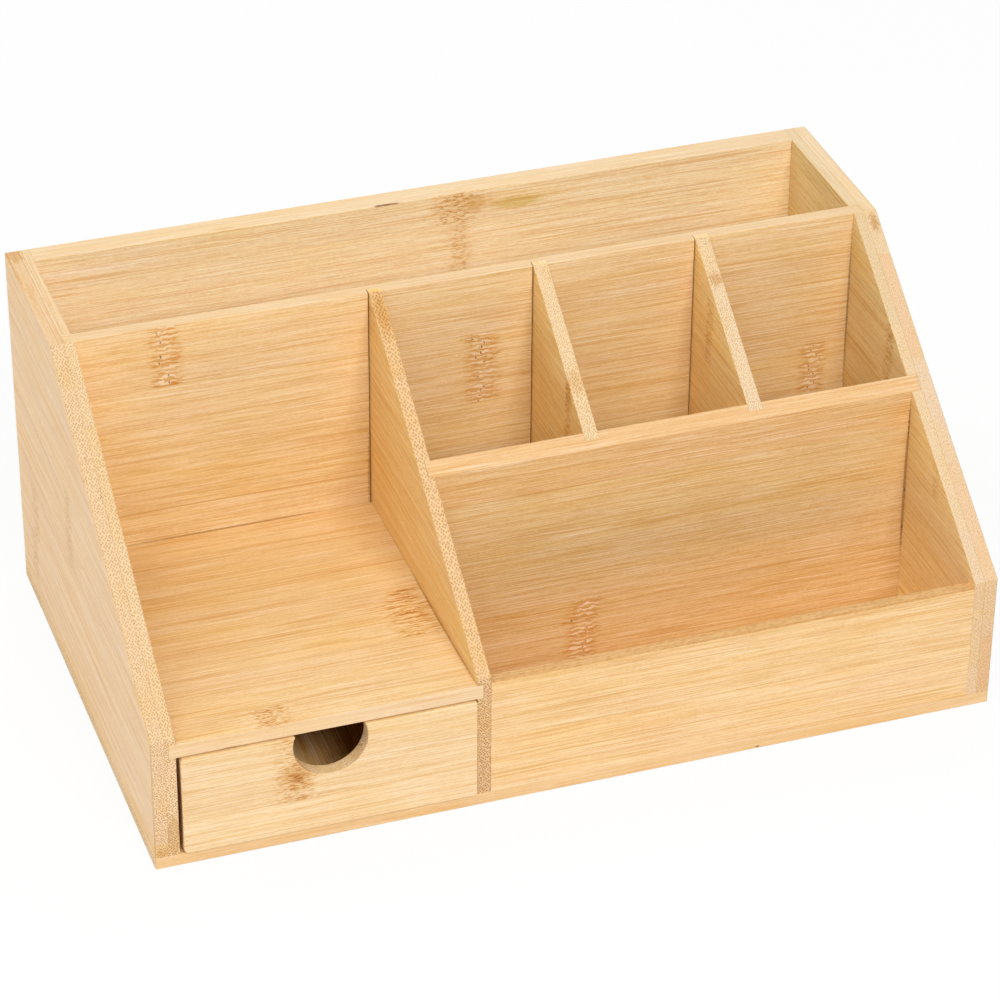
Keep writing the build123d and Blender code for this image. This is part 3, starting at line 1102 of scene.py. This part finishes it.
    def inside(self) -> list[Board]:
        """Finishes the rear divider, the bay's partition, the cross divider and the drawer's shelf.

        Returns:
            Those boards.
        """
        rear = Bamboo(
            srgb(233, 196, 139), **WIDE, seed=53.0,
            edge_shade=(0.932, 0.956, 1.062),
            plies=(
                Ply((14.0, 42.0, 72.0, 97.0, 129.5), (G, H, H, G, H, R), (
                    Knuckle(5, -128.5, 6.5), Knuckle(4, 3.5, 8.0), Knuckle(3, 150.0, 6.5),
                )),
            ),
            marks=(
                # Painted shade: the divider a little darker over the open bay, where it gets more light
                # than over the cells.
                Mark((-106.0, 30.0, 90.0), (75.0, 3.0, 74.0), (0.926, 0.936, 0.955), 1.0, 0.5, 0.2),
                Mark((-106.0, 30.0, 57.6), (62.0, 0.8, 0.5), BROWN_SHADE, 0.8, 0.6),
                # Painted shade low in the corner beside the partition.
                Mark((-45.2, 30.0, 72.0), (1.0, 0.8, 26.0), BROWN_SHADE, 0.7, 0.6, 0.8),
                # A glue line with painted shade in the corner at the right side.
                Mark((164.8, 30.0, 110.0), (0.7, 0.8, 46.0), NICK_AND_PAINTED_SHADE, 0.6, 0.6),
            ),
        )
        partition = Bamboo(
            srgb(237, 200, 132), **DEEP, seed=61.0,
            end_shade=(0.753, 0.672, 0.739), square_shade=(0.754, 0.693, 0.836),
            bundle_pitch=1.0, bundle_depth=0.7, square_depth=1.2,
            plies=(Ply((30.0, 58.0, 86.0, 112.0, 135.0), (G, G, H, H, H, G)),),
            marks=(Mark((-41.8, 22.0, 151.0), (4.0, 16.0, 13.0), (0.85, 0.70, 0.48), 1.0, 0.7, 0.8),),
        )
        cross = Bamboo(
            srgb(223, 185, 129), **WIDE, seed=71.0,
            edge_shade=(0.984, 0.997, 1.095),
            plies=(Ply((37.5, 66.0, 93.0), (G, H, G, U), (Knuckle(0, 24.0, 8.0),), 1.3),),
            marks=(
                # Painted shade: the lower part a little less red, against the red light bounced up from
                # the base.
                Mark((60.0, -37.0, 62.0), (130.0, 0.8, 26.0), (0.965, 1.0, 1.0), 1.0, 0.7, 0.2),
                # A dark joint line with painted shade beside it, in the corner at the right side.
                Mark((164.6, -37.0, 64.0), (0.9, 0.8, 38.0), (0.50, 0.36, 0.22), 0.8, 0.35, 0.5),
                Mark((164.7, -37.0, 44.0), (0.5, 0.8, 1.4), NICK_AND_PAINTED_SHADE, 0.7, 0.6),
                Mark((164.7, -37.0, 62.0), (0.5, 0.8, 1.2), NICK_AND_PAINTED_SHADE, 0.7, 0.6),
                Mark((164.7, -37.0, 97.0), (0.4, 0.8, 10.0), NICK_AND_PAINTED_SHADE, 0.6, 0.6, 1.6),
            ),
        )
        shelf = Bamboo(
            srgb(221, 184, 130), **FLAT, seed=97.0,
            edge_shade=(1.10, 1.16, 1.42),
            plies=(
                Ply((-95.0, -67.0, -35.0, -6.0), (H, H, G, G, G), (
                    Knuckle(2, -54.0, 14.0, 1.0, Figure.STROKES),
                    Knuckle(0, -126.0, 11.0, 1.0, Figure.FLECKS),
                )),
            ),
            marks=(
                Mark((-143.8, -107.0, 51.3), (4.0, 0.8, 0.4), BROWN_SHADE, 0.7, 0.6, 1.2),
                Mark((-44.8, -65.0, 57.5), (0.8, 52.0, 0.6), BROWN_SHADE, 0.9, 0.6),
                Mark((-106.0, 29.8, 57.5), (62.0, 0.6, 0.6), BROWN_SHADE, 0.7, 0.6),
            ),
        )
        return [
            Board("rear_divider", rear),
            Board("bay_partition", partition),
            Board("cross_divider", cross),
            Board("drawer_shelf", shelf),
        ]

    def cells(self) -> list[Board]:
        """Finishes the two dividers between the cells.

        Returns:
            Those boards.
        """
        first = Bamboo(
            srgb(249, 212, 141), **DEEP, seed=101.0,
            end_shade=(0.724, 0.715, 0.943), edge_shade=(0.9, 0.93, 1.3),
            plies=(
                Ply((33.0, 60.0, 88.0, 116.0, 131.0), (G, H, G, G, G, G), (
                    Knuckle(3, -13.0, 5.0, 1.0, Figure.FLECKS),
                    Knuckle(4, -12.0, 5.0, 1.0, Figure.FLECKS),
                )),
            ),
            marks=(
                Mark((28.0, -13.4, 126.2), (4.0, 9.0, 7.0), (0.86, 0.74, 0.58), 0.8, 0.7, 1.0),
                Mark((25.0, -14.0, 121.0), (1.0, 4.0, 8.0), (0.80, 0.64, 0.42), 0.8, 0.7, 1.6),
            ),
        )
        second = Bamboo(
            srgb(249, 213, 144), **DEEP, seed=113.0,
            end_shade=(0.716, 0.721, 1.008), edge_shade=(0.9, 0.93, 1.3),
            plies=(
                Ply((25.0, 52.0, 80.0, 108.0, 138.0), (H, G, G, G, G, G), (
                    Knuckle(4, 12.0, 6.0, 0.8, Figure.FLECKS),
                )),
            ),
            marks=(Mark((98.0, 14.3, 145.9), (4.0, 4.5, 4.0), (0.78, 0.60, 0.38), 0.8, 0.6, 1.6),),
        )
        return [Board("cell_divider_1", first), Board("cell_divider_2", second)]


@dataclass(frozen=True)
class Drawer:
    """The drawer's five boards.

    Attributes:
        front_seam: Where the front's two strips meet.
        left_seam, right_seam: Where the sides' two strips meet.
        bottom_seams: Where the bottom's strips meet.
    """

    front_seam: float = 20.8
    left_seam: float = 27.0
    right_seam: float = 24.0
    bottom_seams: tuple[float, ...] = (-131.0, -104.0, -76.0)

    def build(self) -> None:
        """Dresses every board."""
        for board in self.boards():
            board.dress()

    def boards(self) -> list[Board]:
        """Finishes the drawer's boards.

        Returns:
            Those boards.
        """
        front = Bamboo(
            srgb(232, 197, 146), **WIDE, seed=127.0, edge_shade=(1.06, 1.06, 1.02), edge_mottle=0.6,
            plies=(
                Ply((self.front_seam,), (P, H), (Knuckle(1, -118.0, 12.0, 0.8, Figure.FLECKS),), 0.75),
            ),
            marks=(
                Mark((-118.6, -108.2, 32.5), (9.0, 3.0, 9.0), (0.88, 0.77, 0.62), 1.0, 0.7, 0.9),
                Mark((-117.5, -108.2, 31.0), (4.0, 3.0, 3.0), (0.74, 0.58, 0.40), 0.9, 0.8, 1.8),
                # Painted shade: the front's left end darker, where it faces into the gap beside the
                # side.
                Mark((-163.7, -105.0, 28.0), (0.6, 3.1, 25.0), (0.50, 0.36, 0.25), 0.9, 0.2, 0.0),
                Mark((-162.5, -108.2, 12.1), (0.5, 0.8, 0.5), BROWN_SHADE, 0.8, 0.6),
            ),
        )
        # The inside boards are darker than the front, and the bottom's second strip is paler and its
        # third darker: painted shade and painted light for the inside seen through the notch.
        inner = srgb(222, 182, 128)
        left = Bamboo(inner, **DEEP, plies=(Ply((self.left_seam,), (G, H)),), seed=131.0)
        right = Bamboo(inner, **DEEP, plies=(Ply((self.right_seam,), (H, G)),), seed=139.0)
        back = Bamboo(srgb(216, 174, 118), **WIDE, plies=(Ply((), (G,)),), seed=149.0)
        bottom = Bamboo(
            srgb(226, 174, 108), grain=Axis.Y, across=Axis.X, through=Axis.Z, seed=151.0,
            plies=(Ply(self.bottom_seams, (G, P, A, G), contrast=1.8),),
        )
        return [
            Board("drawer_front", front),
            Board("drawer_left_side", left),
            Board("drawer_right_side", right),
            Board("drawer_back", back),
            Board("drawer_bottom", bottom),
        ]


# ---- Screws and brads ----
BLUNTNESS = 0.05  # the radius at the very tip, in shares of the shank's
RIDGE_STEEPNESS = 1.7  # 1 for ridges that touch, more for a flat valley between them
SAME_POINT = 0.001 * MM  # corners that are closer than this are one


@dataclass(frozen=True)
class Steel:
    """The finish of a small steel part: bright, a little cloudy.

    Attributes:
        colour: The steel's own colour.
        roughness: The least roughness of its face.
        dulled: What the clouds multiply the colour by.
    """

    colour: Colour
    roughness: float
    dulled: Colour = (0.55, 0.52, 0.46, 1.0)

    def material(self, name: str) -> bpy.types.Material:
        """Builds the steel's material.

        Args:
            name: The material's name.

        Returns:
            The finished material.
        """
        shader = Shader(name)
        place = shader.node("ShaderNodeTexCoord").output("Object")
        scaled = shader.node("ShaderNodeVectorMath", {"operation": "SCALE"}, {0: place, 3: 1 / MM})
        cloud = shader.noise(scaled, 3.0)
        dull = shader.mix(cloud.rise(0.4, 0.8) * 0.5, self.colour, self.dulled, "MULTIPLY")
        return shader.surface(
            {"Base Color": dull, "Metallic": 1.0, "Roughness": cloud * 0.2 + self.roughness}
        )


class Maker(Tree):
    """A Geometry Nodes tree that takes points, sizes in millimetres and a material."""

    def __init__(self, name: str, sizes: Mapping[str, float]) -> None:
        """Makes the tree with an input for each size.

        Args:
            name: The tree's name.
            sizes: The names of the sizes, with their values.
        """
        group = bpy.data.node_groups.new(name, "GeometryNodeTree")
        group.interface.new_socket("Points", in_out="INPUT", socket_type="NodeSocketGeometry")
        for size in sizes:
            group.interface.new_socket(size, in_out="INPUT", socket_type="NodeSocketFloat")
        group.interface.new_socket("Material", in_out="INPUT", socket_type="NodeSocketMaterial")
        group.interface.new_socket("Pieces", in_out="OUTPUT", socket_type="NodeSocketGeometry")
        super().__init__(group)
        self.entry = self.node("NodeGroupInput")

    def size(self, name: str) -> Field:
        """The input of that name."""
        return self.entry.output(name)

    def set_up(self, modifier: bpy.types.NodesModifier, values: Mapping[str, Any]) -> None:
        """Sets a modifier's inputs, each by its socket's identifier.

        Args:
            modifier: The modifier that runs the tree.
            values: A value for each input's name.
        """
        modifier.node_group = self.tree
        for item in self.tree.interface.items_tree:
            if item.item_type == "SOCKET" and item.in_out == "INPUT" and item.name in values:
                modifier[item.identifier] = values[item.name]


@dataclass(frozen=True)
class Place:
    """Where one fastener is.

    Attributes:
        head: The middle of its head's flat, in metres.
        aim: The way it points.
    """

    head: Vector
    aim: Vector


@dataclass(frozen=True)
class Fastener:
    """A set of screws or brads, all of one size, in millimetres.

    Attributes:
        node: The node whose solids they stand for.
        body: The body they ride on.
        slot: The material slot of their finish; not used.
        finish: Their steel.
        length, radius: Their size.
        head_radius, head_height: The head, which narrows down to the shank.
        core_radius: The radius at the bottom of the thread or of the rings.
        grip_start, grip_end: Where the thread or the rings start and end, from the head.
        pitch: How far apart the ridges are.
        turns: 1 for a thread, 0 for rings.
        point: The length of the point.
        recess: The length, width and depth of the cross in the head, or None.
        steps, sides: How finely it is divided, along and round.
    """

    node: str
    body: str
    slot: str
    finish: Steel
    length: float
    radius: float
    head_radius: float
    head_height: float
    core_radius: float
    grip_start: float
    grip_end: float
    pitch: float
    turns: float
    point: float
    recess: tuple[float, float, float] | None
    steps: int
    sides: int

    def build(self) -> None:
        """Makes the set in place of the node's plain solids."""
        sizes = {
            "Length": self.length, "Radius": self.radius, "Head Radius": self.head_radius,
            "Head Height": self.head_height, "Core Radius": self.core_radius,
            "Grip Start": self.grip_start, "Grip End": self.grip_end, "Pitch": self.pitch,
            "Turns": self.turns, "Point": self.point,
        }
        maker = Maker(f"{self.node}_maker", sizes)
        self._fill(maker)
        seeds = self._seed_mesh(self.places())
        carrier = bpy.data.objects.new(f"{self.node}_carrier", seeds)
        bpy.context.scene.collection.objects.link(carrier)
        modifier = carrier.modifiers.new("maker", "NODES")
        steel = self.finish.material(f"{self.node}_steel")
        maker.set_up(modifier, {**sizes, "Material": steel})
        graph = bpy.context.evaluated_depsgraph_get()
        mesh = bpy.data.meshes.new_from_object(carrier.evaluated_get(graph))
        bpy.data.objects.remove(carrier)
        piece = bpy.data.objects.new(f"{self.node}_set", mesh)
        bpy.context.scene.collection.objects.link(piece)
        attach(piece, self.body)
        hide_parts(self.node)
        log.info("made %s: %d faces", piece.name, len(mesh.polygons))

    def places(self) -> list[Place]:
        """Reads where each fastener is off the node's solids.

        Returns:
            The places, in order. Heads lie away from the body's middle.
        """
        shape = bmesh.new()
        shape.from_mesh(frame["nodes"][self.node].data)
        bmesh.ops.remove_doubles(shape, verts=shape.verts, dist=SAME_POINT)
        found: list[Place] = []
        left = set(shape.verts)
        middle = self._middle()
        while left:
            island, edge = set(), [left.pop()]
            while edge:
                vertex = edge.pop()
                island.add(vertex)
                near = {link.other_vert(vertex) for link in vertex.link_edges} & left
                left -= near
                edge.extend(near)
            corners = [Vector(pick(v.co[i] for v in island) for i in range(3)) for pick in (min, max)]
            found.append(self._place(corners[0], corners[1], middle))
        shape.free()
        return sorted(found, key=lambda place: tuple(round(part, 5) for part in place.head))

    def _middle(self) -> Vector:
        """Finds the middle of the body that the fasteners ride on.

        Returns:
            The middle of all its nodes, in metres.
        """
        boxes = [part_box(name) for name, node in frame["nodes"].items() if self.body in body_of(node)]
        low = Vector(min(box[0][i] for box in boxes) for i in range(3))
        high = Vector(max(box[1][i] for box in boxes) for i in range(3))
        return (low + high) / 2

    @staticmethod
    def _place(low: Vector, high: Vector, middle: Vector) -> Place:
        """Works out the place of one fastener.

        Args:
            low, high: The corners of its box.
            middle: The middle of its body.

        Returns:
            The place.
        """
        size, centre = high - low, (low + high) / 2
        axis = max(range(3), key=lambda i: size[i])
        inward = 1.0 if abs(low[axis] - middle[axis]) > abs(high[axis] - middle[axis]) else -1.0
        aim = Vector((0.0, 0.0, 0.0))
        aim[axis] = inward
        return Place(centre - aim * size[axis] / 2, aim)

    @staticmethod
    def _seed_mesh(places: Sequence[Place]) -> bpy.types.Mesh:
        """Makes a mesh of one point for each place, with the way it points as an attribute.

        Args:
            places: The places.

        Returns:
            The mesh.
        """
        mesh = bpy.data.meshes.new("fastener_points")
        mesh.from_pydata([place.head for place in places], [], [])
        aims = mesh.attributes.new("aim", "FLOAT_VECTOR", "POINT")
        for item, place in zip(aims.data, places):
            item.vector = place.aim
        return mesh

    def _fill(self, maker: Maker) -> None:
        """Builds the tree: one turned shape, its cross, and a copy at each point.

        Args:
            maker: The empty tree.
        """
        length = maker.size("Length")
        rod = maker.node(
            "GeometryNodeMeshCylinder",
            {"fill_type": "NGON"},
            {"Vertices": self.sides, "Side Segments": self.steps, "Radius": 1.0, "Depth": length * MM},
        )
        parts = maker.node("ShaderNodeSeparateXYZ", inputs={0: maker.node("GeometryNodeInputPosition")})
        x, y = parts, parts.output(1)
        depth = parts.output(2) / MM + length * 0.5
        radius = self._radius(maker, depth, y.angle(x)) * MM
        reach = (x * x + y * y).root()
        turned = maker.node(
            "ShaderNodeCombineXYZ", inputs={0: x / reach * radius, 1: y / reach * radius, 2: depth * MM}
        )
        shape = maker.node("GeometryNodeSetPosition", inputs={"Geometry": rod, "Position": turned})
        if self.recess:
            long, wide, deep = self.recess
            for size in ((long, wide, 2 * deep), (wide, long, 2 * deep)):
                bar = maker.node("GeometryNodeMeshCube", inputs={"Size": [part * MM for part in size]})
                shape = maker.node(
                    "GeometryNodeMeshBoolean",
                    {"operation": "DIFFERENCE", "solver": "EXACT"},
                    {"Mesh 1": shape, "Mesh 2": bar},
                )
        aim = maker.node(
            "GeometryNodeInputNamedAttribute", {"data_type": "FLOAT_VECTOR"}, {"Name": "aim"}
        )
        straight = maker.node("FunctionNodeAlignRotationToVector", {"axis": "Z"}, {"Vector": aim})
        chance = maker.node(
            "FunctionNodeRandomValue", {"data_type": "FLOAT"}, {"Min": 0.0, "Max": math.tau, "Seed": 7}
        )
        roll = maker.node(
            "FunctionNodeAxisAngleToRotation",
            inputs={"Axis": (0.0, 0.0, 1.0), "Angle": chance.output(1)},
        )
        turn = maker.node(
            "FunctionNodeRotateRotation", {"rotation_space": "LOCAL"},
            {"Rotation": straight, "Rotate By": roll},
        )
        copies = maker.node(
            "GeometryNodeInstanceOnPoints",
            inputs={"Points": maker.size("Points"), "Instance": shape, "Rotation": turn},
        )
        whole = maker.node("GeometryNodeRealizeInstances", inputs={"Geometry": copies})
        steel = maker.node(
            "GeometryNodeSetMaterial", inputs={"Geometry": whole, "Material": maker.size("Material")}
        )
        maker.node("NodeGroupOutput", inputs={0: steel})

    @staticmethod
    def _radius(maker: Maker, depth: Field, angle: Field) -> Field:
        """Works out the radius, with the ridges of the grip.

        Args:
            maker: The tree.
            depth: How far under the head a point lies, in millimetres.
            angle: Its angle round the axis.

        Returns:
            The radius in millimetres.
        """
        radius, core = maker.size("Radius"), maker.size("Core Radius")
        head, tall = maker.size("Head Radius"), maker.size("Head Height")
        phase = (depth / maker.size("Pitch") - angle * maker.size("Turns") / math.tau).part()
        ridge = 1 - (abs(phase * 2 - 1) * RIDGE_STEEPNESS).smaller(1.0)
        in_grip = depth.above(maker.size("Grip Start")) * (1 - depth.above(maker.size("Grip End")))
        shank = radius - in_grip * (1 - ridge) * (radius - core)
        to_tip = (maker.size("Length") - depth) / maker.size("Point")
        tip = radius * (to_tip * (1 - BLUNTNESS) + BLUNTNESS)
        cone = head - depth * (head - radius) / tall
        return cone.larger(shank.smaller(tip))


SCREWS = Fastener(
    node="base_screws", body="carcass", slot="screw_steel", finish=Steel((0.62, 0.60, 0.56, 1.0), 0.28),
    length=20.0, radius=1.5, head_radius=3.0, head_height=1.6, core_radius=1.05, grip_start=5.0,
    grip_end=19.0, pitch=1.3, turns=1.0, point=3.0, recess=(3.2, 0.8, 1.0), steps=96, sides=20,
)
BRADS = Fastener(
    node="drawer_brads", body="drawer", slot="brad_steel", finish=Steel((0.50, 0.50, 0.50, 1.0), 0.3),
    length=15.0, radius=0.62, head_radius=0.7, head_height=0.5, core_radius=0.54, grip_start=1.2,
    grip_end=4.2, pitch=0.5, turns=0.0, point=1.8, recess=None, steps=75, sides=12,
)


# ---- Studio ----
def direction(azimuth: float, elevation: float) -> Vector:
    """Turns two angles into the way from the object to the place it is seen from.

    Args:
        azimuth: The angle round the object, in degrees, 0 in front and 90 at its right.
        elevation: The angle above the table, in degrees.

    Returns:
        The way, one unit long.
    """
    turn, tilt = math.radians(azimuth), math.radians(elevation)
    return Vector((math.sin(turn) * math.cos(tilt), -math.cos(turn) * math.cos(tilt), math.sin(tilt)))


@dataclass(frozen=True)
class Camera:
    """The viewpoint.

    Attributes:
        target: The point that the middle of the picture shows, in millimetres.
        distance: How far the camera is from it, in millimetres.
        azimuth, elevation, roll: Its angles, in degrees.
        focal_pixels: Its focal length, in pixels of the picture.
        sensor: The width of its sensor, in millimetres.
        reach: How far it sees, in metres.
    """

    target: tuple[float, float, float] = (169.771, 485.983, -266.943)
    distance: float = 2285.08
    azimuth: float = -19.147
    elevation: float = 33.039
    roll: float = 0.433
    focal_pixels: float = 4098.556
    sensor: float = 36.0
    reach: float = 20.0

    def build(self) -> None:
        """Sets the camera up."""
        back = direction(self.azimuth, self.elevation)
        data = bpy.data.cameras.new("camera")
        data.sensor_width = self.sensor
        data.lens = self.sensor * self.focal_pixels / PICTURE_WIDTH
        data.clip_end = self.reach
        camera = bpy.data.objects.new("camera", data)
        camera.location = (Vector(self.target) + back * self.distance) * MM
        camera.rotation_mode = "QUATERNION"
        roll = Quaternion((0.0, 0.0, 1.0), math.radians(self.roll))
        camera.rotation_quaternion = (-back).to_track_quat("-Z", "Y") @ roll
        bpy.context.scene.collection.objects.link(camera)
        bpy.context.scene.camera = camera


@dataclass(frozen=True)
class Lamp:
    """A soft square lamp that looks at the object.

    Attributes:
        name: Its name.
        azimuth, elevation: Where it hangs, in degrees.
        watts: Its power.
        side, distance: Its width and how far away it hangs, in metres.
    """

    name: str
    azimuth: float
    elevation: float
    watts: float
    side: float = 1.2
    distance: float = 2.0

    def build(self) -> None:
        """Hangs the lamp."""
        data = bpy.data.lights.new(self.name, "AREA")
        data.size = self.side
        data.energy = self.watts
        lamp = bpy.data.objects.new(self.name, data)
        lamp.location = direction(self.azimuth, self.elevation) * self.distance
        lamp.rotation_mode = "QUATERNION"
        lamp.rotation_quaternion = (-lamp.location).to_track_quat("-Z", "Y")
        bpy.context.scene.collection.objects.link(lamp)


@dataclass(frozen=True)
class Studio:
    """A white table, soft lamps and an even white room.

    Attributes:
        table_side: The table's width, in metres.
        hole: The size of the hole under the base, in shares of the base.
        table_glow: How far the table is plain white where it is seen.
        room_light: The strength of the room's light on the object.
        lamps: The lamps.
    """

    table_side: float = 12.0
    hole: float = 0.99
    table_glow: float = 0.92
    room_light: float = 0.15
    lamps: tuple[Lamp, ...] = (
        Lamp("front_lamp", 4.0, 42.0, 24.0, 0.7),
        Lamp("high_lamp", -50.0, 60.0, 13.0),
        Lamp("left_lamp", -120.0, 45.0, 10.1),
        Lamp("rear_lamp", 150.0, 50.0, 9.7),
        Lamp("low_lamp", 20.0, -60.0, 24.0),
    )

    def build(self) -> None:
        """Builds the table, the room and the lamps."""
        self._table()
        self._room()
        for lamp in self.lamps:
            lamp.build()

    @staticmethod
    def _seen(tree: Tree) -> Field:
        """1 for what the camera, a gloss or a glass sees, else 0."""
        path = tree.node("ShaderNodeLightPath")
        return path.larger(path.output("Is Glossy Ray")).larger(path.output("Is Transmission Ray"))

    def _table(self) -> None:
        """Lays the white table, cut away under the object's base and clear from below."""
        low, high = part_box("base_panel")
        half = self.table_side / 2
        outer = ((-half, -half), (half, -half), (half, half), (-half, half))
        inner = ((low.x, low.y), (high.x, low.y), (high.x, high.y), (low.x, high.y))
        shape = bmesh.new()
        rim = [shape.verts.new((x, y, 0.0)) for x, y in outer]
        hole = [shape.verts.new((x * self.hole, y * self.hole, 0.0)) for x, y in inner]
        for i in range(4):
            after = (i + 1) % 4
            shape.faces.new((rim[i], rim[after], hole[after], hole[i]))
        mesh = bpy.data.meshes.new("table")
        shape.to_mesh(mesh)
        shape.free()
        table = bpy.data.objects.new("table", mesh)
        shader = Shader("table_white")
        place = shader.node("ShaderNodeTexCoord").output("Object")
        cloud = shader.noise(place)
        paper = shader.mix(cloud, (0.86, 0.86, 0.86, 1.0), (0.88, 0.88, 0.88, 1.0))
        matt = shader.node("ShaderNodeBsdfDiffuse", inputs={"Color": paper})
        glow = shader.node("ShaderNodeEmission", inputs={"Color": WHITE, "Strength": 1.0})
        factor = self._seen(shader) * self.table_glow
        both = shader.node("ShaderNodeMixShader", inputs={0: factor, 1: matt, 2: glow})
        clear = shader.node("ShaderNodeBsdfTransparent")
        below = shader.node("ShaderNodeNewGeometry").output("Backfacing")
        one_sided = shader.node("ShaderNodeMixShader", inputs={0: below, 1: both, 2: clear})
        shader.node("ShaderNodeOutputMaterial", inputs={"Surface": one_sided})
        mesh.materials.append(shader.material)
        bpy.context.scene.collection.objects.link(table)

    def _room(self) -> None:
        """Lights the room evenly, white where it is seen."""
        world = bpy.data.worlds.new("room")
        world.use_nodes = True
        tree = Tree(world.node_tree)
        tree.tree.nodes.clear()
        strength = self._seen(tree) * (1 - self.room_light) + self.room_light
        light = tree.node("ShaderNodeBackground", inputs={"Color": WHITE, "Strength": strength})
        tree.node("ShaderNodeOutputWorld", inputs={"Surface": light})
        bpy.context.scene.world = world


def main() -> None:
    """Builds the looks round the frame, piece by piece."""
    logging.basicConfig(level=logging.INFO, format="%(message)s")
    bpy.context.scene.view_settings.view_transform = "Standard"
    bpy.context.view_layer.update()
    Camera().build()
    Studio().build()
    Carcass().build()
    Drawer().build()
    for fastener in (SCREWS, BRADS):
        fastener.build()


if __name__ == "__main__":
    main()
